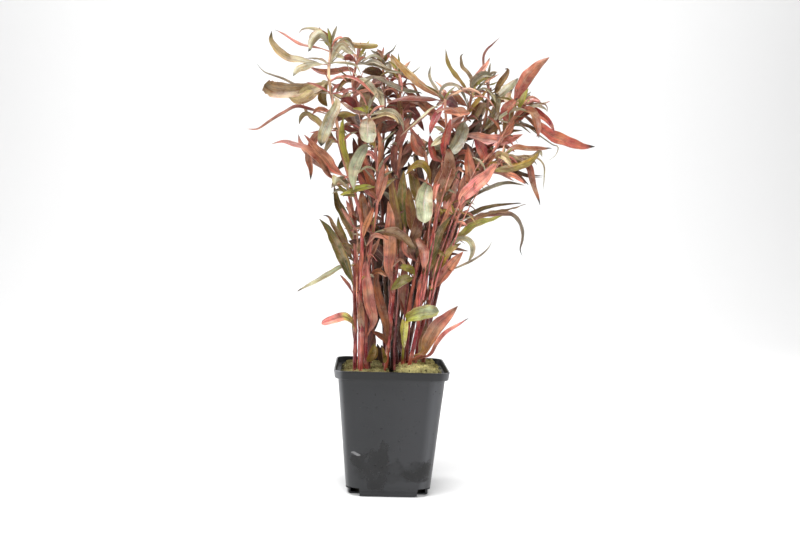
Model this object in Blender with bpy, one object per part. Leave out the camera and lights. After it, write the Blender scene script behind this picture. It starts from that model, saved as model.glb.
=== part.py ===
# Alternanthera reineckii: a bunch of leafy stems in rock wool, in a square nursery pot.
# The frame has +Z up and its origin at the centre of the pot's underside. -Y is the front.

import itertools
import math
import random

import bmesh
import bpy
from mathutils import Matrix, Vector, noise
from mathutils.bvhtree import BVHTree

MM = 0.001

# Pot
POT_RIM_WIDTH = 0.090
POT_FOOT_WIDTH = 0.067
POT_HEIGHT = 0.100
POT_WALL = 0.0013
LIP_HEIGHT = 0.0065
LIP_OVERHANG = 0.0034
RIM_CORNER = 0.010
FOOT_CORNER = 0.014
FOOT_HEIGHT = 0.005
FOOT_INSET = 0.0016
CORNER_SEGMENTS = 3
LIP_DRAFT = 0.0012
FOOT_STEP = 0.0006
WALL_CORNER = RIM_CORNER * 0.92
NOTCH_WIDTH = 0.0105
NOTCH_FLARE = 0.0015
NOTCH_HEIGHT = 0.0068

# Rock wool plugs: centre at the top, width and depth at the top, height of the crown
PLUGS = {
    "wool_front_left": ((-0.0196, -0.0197), (0.0372, 0.0365), 0.0985),
    "wool_front_right": ((0.0212, -0.0197), (0.0330, 0.0365), 0.1030),
    "wool_back_left": ((-0.0196, 0.0197), (0.0372, 0.0365), 0.0985),
    "wool_back_right": ((0.0212, 0.0197), (0.0330, 0.0365), 0.1010),
}
PLUG_TAPER = 0.80
PLUG_CLEARANCE = 0.0004
PLUG_LUMP = 0.0009
PLUG_FOOT_CORNER = 0.024

# Stems
STEM_RADIUS = 0.0018
STEM_TIP_RADIUS = 0.0011
STEM_SIDES = 5
NODE_SWELL = 1.22
NODE_BAND = 0.0022
NODE_SPACING = 0.0085
ROOT_DEPTH = 0.014
SOCKET_GAP = 0.0003

# Leaves
LEAF_THICKNESS = 0.0011
PETIOLE_WIDTH = 0.0013
PETIOLE_REACH = 0.0022
TIP_WIDTH = 0.0007
LEAF_FOLD = 0.09
LEAF_GAP = 0.0004
SHORT_SPAN = 0.003
ROOT_LIFT = 0.0002
ROOT_SHRINK = 0.7
STATION_SPACING = 0.033
STATION_TURN = math.radians(80)
SECTION_FULLNESS = 1.1
CLEARANCE = 0.00035
DEPTH_STEPS = (0, -3, 3, -6, 6, -9, 9, -13, 13, -17, 17, -22, 22, -28, 28)
TURN_STEPS = (0, 25, -25, 50, -50)
WIDTH_STEPS = (1.0, 0.75)
CLIMB_STEPS = (0, -8, 8, -15)

# The plant is laid out as seen from the front: each point is (x, z) in millimetres on the plane
# through the pot's axis, and a depth in millimetres behind that plane, towards +Y.
EYE = Vector((-0.0235, -0.780, 0.2095))

STEMS = {
    "stem_left_tall": [(-24, 94, -24), (-24, 123, -24), (-26, 151, -24), (-26, 200, -22), (-28, 220, -20),
                       (-37, 247, -18), (-46, 275, -16), (-48.5, 291, -15), (-53, 311, -14), (-56.5, 333, -13),
                       (-55, 354, -12)],
    "stem_left_centre": [(-20, 95, -18), (-22, 151, -16), (-19.5, 192, -18), (-15, 228, -22), (-16, 262, -26),
                         (-20.5, 288, -28), (-24.5, 302, -28)],
    "stem_left_outer": [(-29, 95, -15), (-29.5, 127, -15), (-31, 160, -14), (-31.5, 192, -13), (-34, 220, -12),
                        (-38, 236, -12)],
    "stem_left_back": [(-17, 99, 20), (-15, 150, 18), (-18, 200, 14), (-23, 250, 8), (-28, 290, 3),
                       (-34, 312, 0), (-37, 324, -2), (-34, 344, -4)],
    "stem_centre_front": [(-4, 97, -5), (0, 150, -3), (3, 200, 2), (1, 250, 6), (4, 290, 4), (1, 318, 4),
                          (0, 334, 4)],
    "stem_centre_back": [(-5.5, 99, 14), (-6, 150, 20), (-9, 200, 22), (-12, 250, 20), (-11, 300, 16),
                         (-12, 325, 14), (-14, 344, 13)],
    "stem_right_tall": [(15, 99, -16), (19, 121, -16), (21.5, 136, -14), (20, 153, -13), (23, 172, -13),
                        (29, 194, -13), (34, 230, -12), (37, 262, -10), (39, 290, -10), (37, 316, -8)],
    "stem_right_lower": [(19, 99, -8), (26, 137, -6), (33, 162, -6), (38, 184, -8), (44, 199, -10),
                         (52, 224, -14), (60, 240, -16), (73, 259, -16), (85, 269, -16)],
    "stem_right_outer": [(26, 100, 8), (30, 150, 6), (33, 190, 4), (37, 219, 2), (46, 234, 0), (63, 257, -2),
                         (80, 278, -4), (92, 300, -6), (101, 313, -6)],
    "stem_right_inner": [(9.5, 99, -5), (14, 150, -4), (22, 195, -4), (30, 225, -2), (27, 250, -2), (22, 274, -4)],
    "stem_back_middle": [(12, 100, 22), (22, 160, 22), (33, 215, 20), (42, 258, 16), (50, 286, 12), (56, 306, 8),
                         (60, 324, 6)],
    "stem_back_right": [(24, 100, 22), (36, 160, 26), (48, 215, 26), (60, 262, 22), (68, 290, 18), (72, 312, 16),
                        (72, 331, 15)],
}

# Traced leaves: stem, height on it, width, turn at the base and the tip in degrees, colour,
# depth of the tip past the stem, points towards the tip, and a name where the leaf is its own piece.
# A turn of 0 shows the flat of the leaf to the front, and 90 its edge.
LEAVES = [
    # top of the left shoot
    ("stem_left_tall", 350, 7, (40, 70), "pink", -3,
     [(-68, 353.5), (-77.5, 355), (-85.5, 358.5), (-93.5, 363), (-100.5, 365.5)], "leaf_left_top_pink"),
    ("stem_left_tall", 339, 9, (60, 45), "tan", -10,
     [(-74, 340.5), (-86, 342), (-92, 344), (-96, 347), (-100, 351.5), (-103.5, 357), (-103, 364.5)],
     "leaf_left_top_tan"),
    ("stem_left_tall", 353, 5, (20, 60), "sage", 8,
     [(-57.5, 358), (-61, 362.5), (-65.5, 365), (-73, 367), (-78.5, 366), (-81, 363.5)], None),
    ("stem_left_tall", 352, 7, (10, 30), "sage", -16,
     [(-58, 360), (-63, 364), (-67.5, 361), (-70.5, 356), (-71.5, 352), (-73.5, 349)], "leaf_left_top_sage"),
    ("stem_left_tall", 352, 4, (50, 50), "lime", 2, [(-55.5, 360), (-58, 368.5)], None),
    ("stem_left_tall", 336, 7, (60, 20), "sage", -2,
     [(-66, 340), (-72, 339), (-77.5, 337), (-81.5, 334.5), (-85, 329)], "leaf_left_hooked_sage"),
    ("stem_left_back", 327, 6, (30, 30), "crimson", 6,
     [(-37, 335), (-43, 335.5), (-48, 334), (-55, 333), (-63, 333.5), (-72, 337)], "leaf_left_crimson_arch"),
    ("stem_left_tall", 325, 12.5, (45, 0), "golden", -10,
     [(-65.5, 322), (-73.5, 319.5), (-80, 318), (-88, 317), (-95, 317), (-101, 318), (-107.5, 322)],
     "leaf_left_golden"),
    ("stem_left_tall", 322, 9, (30, 10), "tan", -20,
     [(-66, 319), (-71, 315.5), (-76.5, 311.5), (-82, 310), (-88, 312.5)], None),
    ("stem_left_tall", 318, 2, (0, 0), "grey", 4,
     [(-72, 318.5), (-83, 322.5), (-93, 327), (-101, 329.5), (-108, 332), (-114, 338)], None),
    ("stem_left_tall", 322, 8, (20, 20), "olive", -6, [(-61.5, 318), (-61.5, 312), (-57, 306)], None),
    ("stem_left_tall", 305, 4, (30, 30), "rust", -4, [(-63.5, 303.5), (-69, 299)], None),
    ("stem_left_tall", 299, 6, (70, 55), "pink", 6,
     [(-71.5, 303), (-81, 304.5), (-91.5, 299), (-101, 293), (-112, 286), (-120.5, 286)], "leaf_left_far_pink"),
    ("stem_left_tall", 284, 7, (50, 50), "tan", -4,
     [(-63, 291), (-68, 295.5), (-73.5, 299), (-77, 297), (-79, 291)], None),
    ("stem_left_tall", 287, 4, (50, 60), "tan", 8, [(-67, 295), (-74, 302.5), (-76.5, 308)], None),
    ("stem_left_tall", 316, 9.5, (10, 10), "sage", -14,
     [(-49.5, 311), (-50.5, 304), (-54, 297), (-57, 289), (-59.5, 281), (-61, 274)], "leaf_left_sage_hanging"),
    ("stem_left_tall", 249, 8, (50, 50), "salmon", 4,
     [(-51, 250), (-60.5, 263), (-72, 273), (-81, 276), (-92, 277.5), (-101, 274.5)], "leaf_left_salmon_long"),
    ("stem_left_tall", 252, 8.5, (30, 40), "salmon", -8,
     [(-51, 256), (-58, 264.5), (-65.5, 271), (-70.5, 277), (-75, 283)], None),
    ("stem_left_tall", 246, 6, (30, 40), "salmon", 12,
     [(-57, 256), (-67, 263), (-73.5, 270.5), (-77.5, 276), (-79.5, 283)], None),
    ("stem_left_tall", 276, 7, (30, 20), "rust", -16,
     [(-55, 283), (-63, 283), (-68.5, 272), (-70, 264), (-68.5, 256), (-68.5, 247)], "leaf_left_rust_drooping"),
    ("stem_left_tall", 280, 6, (20, 30), "olive", -8, [(-52, 280), (-56, 273.5), (-58, 268)], None),
    ("stem_left_tall", 256, 6, (20, 40), "lime", -8,
     [(-40.5, 265.5), (-43.5, 276), (-44.5, 288), (-44, 299)], None),
    ("stem_left_tall", 244, 9, (70, 0), "sage", -30, [(-43, 247), (-47, 249), (-50, 241)], None),
    ("stem_left_tall", 239, 6, (20, 20), "lime", -20, [(-34, 236.5), (-37, 237), (-45, 235.5)], None),
    ("stem_left_tall", 352, 5.5, (40, 30), "olive", 6,
     [(-50, 354.5), (-44, 357.5), (-36.5, 356.5), (-28.5, 356), (-21, 356), (-17.5, 356)], "leaf_top_sage_flat"),
    ("stem_left_tall", 354, 7, (10, 20), "sage", -12, [(-47, 355.5), (-41, 351), (-36, 348.5)], None),
    ("stem_left_back", 342, 5, (20, 20), "crimson", -10, [(-40, 346), (-46, 344)], None),
    ("stem_left_back", 343, 3, (40, 40), "sage", 4, [(-29, 346), (-27, 351)], None),
    # behind the left shoot
    ("stem_left_back", 318, 9, (10, 20), "brown", -6, [(-30, 321), (-26.5, 312), (-28, 302), (-30, 296)], None),
    ("stem_left_tall", 318, 4, (40, 40), "tan", 6, [(-49, 316), (-42, 315), (-38, 318)], None),
    ("stem_left_back", 165, 8, (10, 20), "rust", -10, [(-22, 180), (-24, 196), (-22, 212)], None),
    ("stem_left_back", 305, 8, (20, 20), "olive", 6, [(-29, 306), (-24, 304), (-19, 307)], None),
    ("stem_left_tall", 297, 6, (30, 30), "olive", 10, [(-46, 300), (-39, 301.5), (-33, 300)], None),
    ("stem_left_tall", 289, 4, (40, 40), "maroon", 6, [(-44, 291.5), (-37, 294.5)], None),
    # left shoot in front
    ("stem_left_centre", 274, 9.5, (10, 0), "sage", -12,
     [(-24.5, 275.5), (-28, 271.5), (-32.5, 262), (-35, 252), (-34, 240)], "leaf_left_sage_middle"),
    ("stem_left_centre", 301, 13, (0, 0), "sage", -18,
     [(-24.5, 299), (-24.5, 292), (-24, 283), (-24, 278)], "leaf_left_sage_blunt"),
    ("stem_left_centre", 243, 5.5, (20, 30), "lime", -10, [(-25, 242.5), (-37, 238), (-44, 235.5)], None),
    ("stem_left_centre", 298, 4, (30, 40), "maroon", 6, [(-35, 303), (-45, 309), (-47, 310)], None),
    ("stem_left_outer", 193, 7.5, (20, 20), "olive", 4,
     [(-37, 210), (-42, 219.5), (-46.5, 227.5), (-50, 243)], "leaf_left_olive_tall"),
    ("stem_left_outer", 206, 5.5, (20, 30), "pink", -6, [(-34.5, 222), (-40, 232)], None),
    ("stem_left_outer", 160, 9, (10, 10), "green", -10,
     [(-36.5, 175), (-42.5, 187), (-49, 199), (-54, 208), (-61, 216)], "leaf_left_green_long"),
    ("stem_left_outer", 187, 5, (20, 30), "brown", 2, [(-42, 199), (-50, 211), (-53.5, 217.5), (-58, 219)], None),
    ("stem_left_outer", 172, 6, (20, 20), "green", -2,
     [(-37, 190), (-41.5, 203), (-45, 212), (-46, 218.5)], None),
    ("stem_left_outer", 180, 7, (60, 50), "sage", 6,
     [(-41, 178), (-51, 171.5), (-60.5, 165.5), (-68.5, 161.5), (-77, 157)], "leaf_left_low_sage"),
    ("stem_left_outer", 127, 7, (10, 20), "lime", -8,
     [(-34, 135), (-39.5, 137.5), (-46, 135.5), (-57, 131)], "leaf_left_low_pink"),
    ("stem_left_tall", 124, 6, (0, 0), "rust", -5, [(-25, 137), (-26, 152)], None),
    ("stem_left_centre", 119, 9, (10, 10), "mauve", -10,
     [(-15.5, 136), (-19, 148), (-21, 160), (-23, 176), (-22, 188)], None),
    ("stem_left_centre", 101, 8, (10, 20), "olive", -9, [(-15.5, 107), (-14, 117)], None),
    ("stem_left_centre", 232, 6, (10, 20), "crimson", -6, [(-22, 240), (-27, 247), (-31, 254)], None),
    ("stem_left_centre", 255, 5, (30, 30), "rust", -2, [(-13, 266), (-13, 278), (-16, 290)], None),
    ("stem_left_centre", 225, 6, (20, 20), "rust", -6, [(-14, 238), (-12, 250), (-10, 262)], None),
    # centre
    ("stem_centre_front", 114, 7, (10, 10), "rust", -8,
     [(-4.5, 132), (-8.5, 144), (-12.5, 156), (-14.5, 168), (-13, 174.5), (-9, 179.5)], "leaf_middle_rust"),
    ("stem_centre_front", 117, 5, (20, 20), "rust", -3, [(-6, 120), (-16, 127)], None),
    ("stem_centre_front", 99, 6, (30, 30), "olive", -6, [(-5.5, 104), (-8.5, 115)], None),
    ("stem_centre_front", 160, 10.5, (0, 0), "salmon", -12,
     [(-4, 180), (-3.5, 190), (-4, 205), (-4, 220), (-6, 232)], "leaf_middle_salmon"),
    ("stem_centre_front", 185, 7, (20, 10), "brown", -10,
     [(3.5, 200), (2.5, 213), (-2, 233), (-5, 249), (-9, 262)], None),
    ("stem_centre_front", 196, 8, (0, 10), "shadow", -5, [(7, 208), (7, 222), (6.5, 241), (4, 259)], None),
    ("stem_centre_front", 268, 8, (10, 10), "mauve", -6,
     [(-1, 273), (2, 281), (5.5, 291), (9.5, 301)], None),
    ("stem_centre_front", 250, 6, (20, 20), "mauve", -4, [(-3, 262), (-2, 275), (1, 284)], None),
    ("stem_centre_front", 330, 4, (50, 60), "sage", -4, [(-6, 336), (-14, 340.5), (-22, 342.5), (-30, 341)], None),
    ("stem_centre_front", 322, 5, (40, 40), "rust", -8, [(6, 320), (15, 313.5)], None),
    ("stem_centre_front", 312, 7.5, (20, 10), "rust", -10,
     [(8, 313), (16, 312), (22, 307.5), (29.5, 301.5), (36, 295), (41, 289.5)], "leaf_centre_rust"),
    ("stem_centre_front", 331, 4, (40, 50), "crimson", 4, [(5, 334), (12, 330)], None),
    ("stem_centre_back", 328, 8, (30, 10), "brown", -14, [(-16, 333), (-22, 335.5), (-30, 334.5)], None),
    ("stem_centre_back", 300, 8, (20, 10), "crimson", -10,
     [(-8, 305), (-5.5, 307), (1, 309.5), (7.5, 310.5), (17, 308.5)], None),
    ("stem_centre_back", 288, 9.5, (10, 10), "maroon", -12, [(-15, 289.5), (-8, 292), (1, 295)], None),
    ("stem_centre_back", 270, 6, (20, 20), "rust", -18, [(-17, 277), (-15.5, 286), (-12.5, 297)], None),
    ("stem_centre_back", 297, 4, (60, 60), "sage", -14, [(-17, 300.5), (-8.5, 302), (-1, 298.5), (3, 293)], None),
    ("stem_centre_back", 342, 6, (30, 40), "tan", -6, [(-17, 344), (-18, 340)], None),
    ("stem_centre_back", 343, 3, (40, 40), "salmon", 0, [(-10, 347), (-8, 350.5)], None),
    ("stem_centre_back", 318, 6, (20, 20), "sage", -10, [(-18, 322), (-15, 316), (-12, 304)], None),
    ("stem_left_back", 326, 6, (40, 40), "sage", -8, [(-30, 328), (-25, 325), (-20, 319), (-16.5, 313)], None),
    ("stem_left_back", 322, 6, (50, 50), "sage", 6,
     [(-29, 329), (-17, 329), (-11, 326), (2, 321), (19, 319)], "leaf_top_sage_long"),
    ("stem_left_back", 336, 4, (50, 50), "grey", -6, [(-27, 341), (-21, 343), (-10, 338)], None),
    ("stem_left_back", 300, 7, (20, 20), "crimson", -14, [(-33, 306), (-40, 311), (-46, 313)], None),
    ("stem_left_back", 284, 5, (20, 30), "crimson", -12, [(-38, 289), (-47, 290)], None),
    ("stem_centre_back", 328, 8, (10, 10), "maroon", -8, [(-17, 326), (-20, 320), (-24, 312), (-29, 306)], None),
    ("stem_centre_back", 280, 8, (20, 10), "brown", 8, [(-14, 288), (-18, 297), (-21, 303)], None),
    ("stem_centre_back", 340, 4, (30, 30), "grey", -6, [(-10, 340.5), (-7.5, 335), (-6.5, 330)], None),
    ("stem_centre_back", 106, 6, (10, 10), "rust", -6, [(1, 114), (4, 126), (3, 140)], None),
    ("stem_centre_front", 303, 8, (10, 10), "crimson", -6, [(-3, 305), (-9, 303), (-14, 299)], None),
    ("stem_centre_front", 285, 6, (30, 30), "brown", 3, [(6, 291), (10, 300), (12, 306)], None),
    ("stem_centre_front", 331, 6, (20, 20), "tan", 8, [(-1, 335), (-4, 341), (-7, 349)], None),
    # right of the centre
    ("stem_right_inner", 133, 11, (20, 0), "lime", -14,
     [(12.5, 137.5), (17, 140), (23, 142), (30, 143.5), (38, 144)], "leaf_right_lime_folded"),
    ("stem_right_inner", 140, 6.5, (10, 20), "lime", -12, [(10, 135), (9.5, 125), (10, 112)], None),
    ("stem_right_inner", 172, 8, (10, 10), "lime", -10,
     [(14, 170), (9.5, 169.5), (3, 165), (-2, 160)], "leaf_middle_lime"),
    ("stem_right_inner", 176, 6.5, (20, 20), "lime", -4, [(15, 176.5), (9.5, 178.5), (5, 181)], None),
    ("stem_right_inner", 183, 9, (0, 10), "maroon", -8,
     [(13.5, 192), (16, 203), (18.5, 214), (19.5, 230)], "leaf_middle_maroon"),
    ("stem_right_inner", 188, 5, (20, 20), "mauve", -4, [(9, 192), (7.5, 202), (7.5, 214)], None),
    ("stem_right_inner", 197, 7.5, (10, 10), "mauve", -16, [(19.5, 203), (23.5, 195), (24.5, 185), (24, 176.5)],
     None),
    ("stem_right_inner", 243, 14, (0, 0), "sage", -22,
     [(25, 246), (23.5, 240), (22.5, 232), (23, 224), (24, 215)], "leaf_middle_sage_hanging"),
    ("stem_right_inner", 268, 6, (20, 20), "sage", -8, [(27, 276), (34, 281.5), (40, 288)], None),
    ("stem_right_inner", 250, 6, (20, 30), "olive", -6, [(24, 259), (18.5, 263), (12.5, 260.5), (7, 253)], None),
    ("stem_right_inner", 272, 6, (20, 30), "mauve", -4, [(19, 279), (14, 285), (10, 292)], None),
    ("stem_right_inner", 270, 5, (60, 60), "grey", 4, [(19, 277), (13, 280), (6, 280)], None),
    ("stem_right_inner", 262, 7, (10, 20), "rust", 4, [(20, 270), (14, 276), (11, 288)], None),
    ("stem_right_tall", 104, 6, (10, 10), "brown", -3, [(23, 108), (26, 121), (28, 135)], None),
    ("stem_right_tall", 107, 11, (20, 0), "salmon", -10,
     [(27, 111), (31, 121), (36.5, 131.5), (43.5, 139), (53, 149)], "leaf_right_low_salmon"),
    ("stem_right_lower", 104, 5, (30, 60), "pink", -9,
     [(32, 109), (37, 117.5), (41.5, 124), (47, 129), (55, 134), (62, 139)], None),
    ("stem_right_tall", 168, 7, (10, 20), "green", -10,
     [(29, 178), (31.5, 190), (35, 202), (39, 212), (46.5, 223)], "leaf_right_green_long"),
    ("stem_right_tall", 225, 11, (10, 10), "rust", -6,
     [(36, 242), (42, 257), (42, 271), (40, 279)], "leaf_right_rust_broad"),
    ("stem_right_tall", 264, 6, (20, 20), "crimson", 4, [(31, 268), (28, 276), (26, 286)], None),
    ("stem_right_tall", 313, 7, (20, 40), "golden", -4,
     [(27, 320.5), (17, 327.5), (8.5, 334.5), (0, 342), (-7.5, 350)], "leaf_top_golden_long"),
    ("stem_right_tall", 311, 6, (40, 50), "maroon", 2,
     [(27, 315), (17, 316), (5, 316), (-3, 313.5), (-11, 310)], "leaf_top_maroon_arch"),
    ("stem_right_tall", 307, 5, (70, 70), "sage", -6, [(28, 307), (21.5, 300.5), (11, 291), (2, 284)], None),
    ("stem_right_tall", 308, 6, (20, 20), "crimson", -8, [(32, 303), (28, 294), (26, 286)], None),
    ("stem_right_tall", 314, 3, (30, 30), "grey", 4, [(30, 322), (24, 333), (25, 341.5)], None),
    ("stem_right_tall", 288, 6, (20, 20), "sage", -8, [(34, 282), (27, 277)], None),
    ("stem_right_tall", 270, 7, (10, 20), "crimson", -4, [(38, 280), (40, 292), (42, 300)], None),
    ("stem_right_inner", 130, 9, (10, 10), "rust", 6, [(11.5, 142), (9, 156), (7, 172)], None),
    ("stem_right_inner", 106, 7, (10, 10), "maroon", 8, [(7, 114), (5, 126), (6, 140)], None),
    ("stem_right_inner", 250, 9, (10, 10), "maroon", 8, [(29, 256), (32, 266), (33, 277)], None),
    ("stem_right_tall", 290, 8, (10, 20), "salmon", 8, [(42, 294), (47, 299), (53, 303)], None),
    ("stem_right_tall", 262, 8, (10, 10), "shadow", 8, [(42, 268), (48, 275), (52, 283)], None),
    ("stem_right_tall", 240, 7, (20, 20), "brown", 10, [(41, 247), (46, 256), (49, 263)], None),
    # lower right
    ("stem_right_lower", 160, 9, (20, 20), "salmon", -8,
     [(36, 166), (41.5, 174), (49, 184), (56, 193)], "leaf_right_salmon_short"),
    ("stem_right_lower", 168, 8, (20, 20), "olive", -6,
     [(36, 180), (39, 185), (45, 193), (53.5, 199)], None),
    ("stem_right_lower", 194, 7, (40, 30), "lime", -4,
     [(49, 200), (55, 206), (61, 212), (68.5, 216), (78, 219), (87, 223)], "leaf_right_lime_long"),
    ("stem_right_lower", 189, 5, (30, 30), "sage", -12,
     [(46, 198), (52, 203), (58, 203), (63, 198), (63.5, 192), (60, 184)], None),
    ("stem_right_lower", 176, 2.2, (30, 30), "grey", -8,
     [(49.5, 179.5), (57.5, 183), (65.5, 187.5), (72, 192), (76.5, 197), (79, 202)], None),
    ("stem_right_outer", 205, 7, (50, 60), "rust", -4,
     [(44, 210.5), (52.5, 214.5), (60.5, 219), (68.5, 223), (80, 226.5), (93, 229), (106, 233)],
     "leaf_right_rust_long"),
    ("stem_right_outer", 212, 6, (55, 50), "olive", 8,
     [(50, 218), (60, 222), (72, 227.5), (81, 230), (92, 232), (102, 233.5)], None),
    ("stem_right_outer", 208, 6, (50, 20), "pink", 16,
     [(55, 215), (70, 221.5), (84, 224), (94, 224), (99.5, 219.5), (103, 212), (103.5, 204), (102, 196),
      (104, 191)], "leaf_right_pink_drooping"),
    ("stem_right_lower", 183, 6, (20, 20), "rust", -9, [(40, 194), (42, 206)], None),
    ("stem_right_lower", 225, 11, (10, 10), "pink", -7,
     [(54, 236), (62, 244), (71.5, 253), (81, 265)], "leaf_right_pink_broad"),
    ("stem_right_lower", 233, 5, (40, 60), "sage", 4,
     [(62, 236.5), (68, 240.5), (80, 246), (90, 249), (104, 248)], None),
    ("stem_right_outer", 252, 7, (20, 20), "maroon", 6, [(60, 268), (59.5, 275)], None),
    ("stem_back_middle", 282, 7, (10, 10), "maroon", -12, [(58, 276), (59, 267), (57, 251)], None),
    ("stem_back_middle", 300, 11, (10, 10), "sage", -18,
     [(55, 298), (51.5, 289), (47.5, 280), (42.5, 272)], "leaf_right_sage_hanging"),
    ("stem_back_middle", 284, 10, (30, 20), "mauve", -12,
     [(58, 286.5), (70, 284), (82.5, 283), (91, 284.5), (101, 289)], "leaf_right_mauve_level"),
    ("stem_back_middle", 296, 8, (20, 10), "brown", -6, [(60, 302), (65, 309), (71, 313)], None),
    ("stem_right_lower", 236, 9, (10, 10), "rust", 10, [(60, 252), (58, 264), (57, 278)], None),
    ("stem_right_outer", 262, 9, (10, 10), "crimson", 8, [(70, 270), (66, 278), (62, 284)], None),
    ("stem_back_middle", 128, 9, (10, 10), "maroon", -10, [(18, 142), (17, 158), (20, 174)], None),
    ("stem_back_middle", 160, 9, (10, 10), "rust", -8, [(20, 174), (18, 190), (14, 204)], None),
    ("stem_back_middle", 284, 8, (10, 10), "brown", 10, [(60, 290), (64, 297), (67, 304)], None),
    # right shoot
    ("stem_right_lower", 266, 6, (40, 50), "rust", 4,
     [(88, 273), (95, 278), (107, 277.5), (125, 278.5)], "leaf_right_rust_level"),
    ("stem_right_lower", 263, 5, (50, 50), "brown", -6,
     [(88, 270), (95, 269.5), (101, 267.5), (108, 265), (112, 269.5), (115, 275)], None),
    ("stem_right_lower", 268, 2, (40, 40), "sage", 8,
     [(93, 271), (106, 270), (113, 270), (118.5, 265), (119.5, 254), (119, 245)], None),
    ("stem_right_lower", 261, 6, (30, 20), "rust", -10,
     [(92, 266), (101, 267), (107, 262.5), (110, 251), (113.5, 242), (117, 232.5)], "leaf_right_rust_drooping"),
    ("stem_right_lower", 258, 2.2, (30, 30), "shadow", -4, [(87, 261.5), (95, 260), (104, 257), (119, 256)], None),
    ("stem_right_lower", 257, 5, (40, 40), "rust", -12, [(88, 261), (94, 258), (99, 255), (107, 248.5)], None),
    ("stem_right_lower", 265, 6, (20, 20), "tan", -14, [(82, 272), (88, 270), (93, 263)], None),
    ("stem_right_outer", 306, 10.5, (20, 10), "crimson", -8,
     [(94, 312), (96, 320), (98, 327), (101.5, 334), (106.5, 340), (112.5, 346), (120.5, 351.5)],
     "leaf_right_top_crimson"),
    ("stem_right_outer", 308, 5, (20, 30), "lime", -6, [(100, 317), (104.5, 326)], None),
    ("stem_right_outer", 310, 5, (30, 30), "lime", 6, [(104, 316), (106, 321)], None),
    ("stem_right_outer", 309, 5, (60, 60), "sage", 4, [(106, 310), (114, 312), (122.5, 316.5)], None),
    ("stem_right_outer", 311, 3, (40, 40), "grey", -4, [(110, 312), (117, 311), (121, 308)], None),
    ("stem_right_outer", 303, 6.5, (20, 20), "rust", -10,
     [(102, 308), (108, 307), (111.5, 300), (113, 292.5), (114, 286.5)], None),
    ("stem_right_outer", 308, 6, (20, 20), "crimson", -2,
     [(108, 308), (117, 303.5), (123.5, 297.5), (127, 291)], None),
    ("stem_right_outer", 300, 10, (40, 10), "salmon", 10,
     [(104, 302), (115, 295), (125, 288.5), (133, 286), (141.5, 283), (150, 281), (160, 281)],
     "leaf_right_far_salmon"),
    ("stem_right_outer", 299, 2, (30, 30), "shadow", -4, [(99, 304), (112, 299)], None),
    ("stem_right_outer", 293, 2, (30, 30), "shadow", -4, [(96, 297), (102, 297.5), (113, 293)], None),
    ("stem_right_outer", 296, 8, (20, 20), "crimson", -8, [(86, 308), (90, 312), (96, 318)], None),
    ("stem_right_outer", 290, 5, (20, 20), "salmon", -10, [(91, 292), (93, 299), (95, 305)], None),
    ("stem_right_lower", 262, 7, (20, 20), "sage", -10, [(88, 268), (92, 272), (97, 270)], None),
    ("stem_right_lower", 260, 7, (20, 20), "lime", 6, [(95, 263), (104, 266), (110, 270), (115, 276)], None),
    ("stem_right_outer", 300, 8, (10, 10), "brown", 8, [(90, 312), (88, 318), (92, 325)], None),
    # top right shoots
    ("stem_back_middle", 318, 5, (40, 50), "olive", -4,
     [(55, 323), (50.5, 329.5), (44.5, 336.5), (39.5, 343.5), (36.5, 355)], "leaf_top_olive_upright"),
    ("stem_back_middle", 323, 4, (30, 50), "tan", 2,
     [(58, 331), (54, 337), (50, 341), (49, 346.5), (49, 350), (51, 352)], None),
    ("stem_back_middle", 322, 5, (20, 30), "pink", 8,
     [(62, 332), (66, 338.5), (70, 344), (72.5, 349.5)], None),
    ("stem_back_middle", 320, 6.5, (40, 20), "sage", -8,
     [(60.5, 329), (64, 333), (69, 336), (75.5, 334.5)], None),
    ("stem_back_middle", 309, 6, (20, 20), "rust", -2, [(52, 311), (48.5, 316), (45, 320), (40, 322.5)], None),
    ("stem_back_middle", 316, 3, (40, 40), "grey", 6, [(51, 321), (47, 326), (42, 327), (33, 324.5)], None),
    ("stem_back_middle", 305, 9, (30, 20), "salmon", -14,
     [(55, 305), (49.5, 304), (44, 304), (36, 304.5)], None),
    ("stem_back_right", 328, 2.4, (30, 30), "mauve", 4,
     [(69, 337), (67.5, 345), (67.5, 351), (70, 356), (74, 360), (80, 366)], None),
    ("stem_back_right", 322, 5.5, (20, 10), "golden", -6,
     [(78, 322), (80.5, 327), (83.5, 332), (86.5, 338), (87, 341), (84.5, 341)], "leaf_top_golden_hooked"),
    ("stem_back_right", 314, 9, (20, 10), "sage", 10,
     [(77, 317), (82, 320.5), (88, 326), (96, 334)], None),
    ("stem_back_right", 325, 6.5, (20, 20), "olive", -14, [(78, 319), (78.5, 309), (76, 300), (68, 290)], None),
    ("stem_back_right", 321, 6, (20, 20), "tan", -12, [(72, 316), (69, 308), (61.5, 293)], None),
    ("stem_back_right", 329, 3, (40, 40), "tan", -4, [(76, 333), (80, 334)], None),
    ("stem_back_right", 310, 6, (10, 20), "crimson", -8, [(79, 300), (80, 290)], None),
    ("stem_back_right", 292, 8, (10, 20), "brown", -8, [(76, 300), (82, 303), (86, 308)], None),
    ("stem_back_right", 284, 8, (20, 20), "brown", -8, [(72, 291), (78, 294), (83, 298)], None),
    ("stem_back_right", 306, 9, (10, 10), "olive", -4, [(76, 313), (82, 318), (87, 320)], None),
    # between the stems
    ("stem_left_centre", 205, 9, (20, 20), "rust", 6, [(-24, 215), (-26, 226), (-28, 240)], None),
    ("stem_left_outer", 166, 4.5, (20, 20), "maroon", 8, [(-31, 180), (-31, 200), (-31.5, 222)], None),
    ("stem_left_outer", 110, 4, (10, 10), "maroon", 8, [(-30.5, 125), (-30.5, 142), (-31, 160)], None),
    ("stem_centre_back", 165, 8, (20, 20), "rust", -4, [(-12, 175), (-14, 188), (-15, 203)], None),
    ("stem_centre_back", 125, 7, (10, 10), "shadow", -6, [(-6, 138), (-6, 150), (-5, 168)], None),
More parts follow.
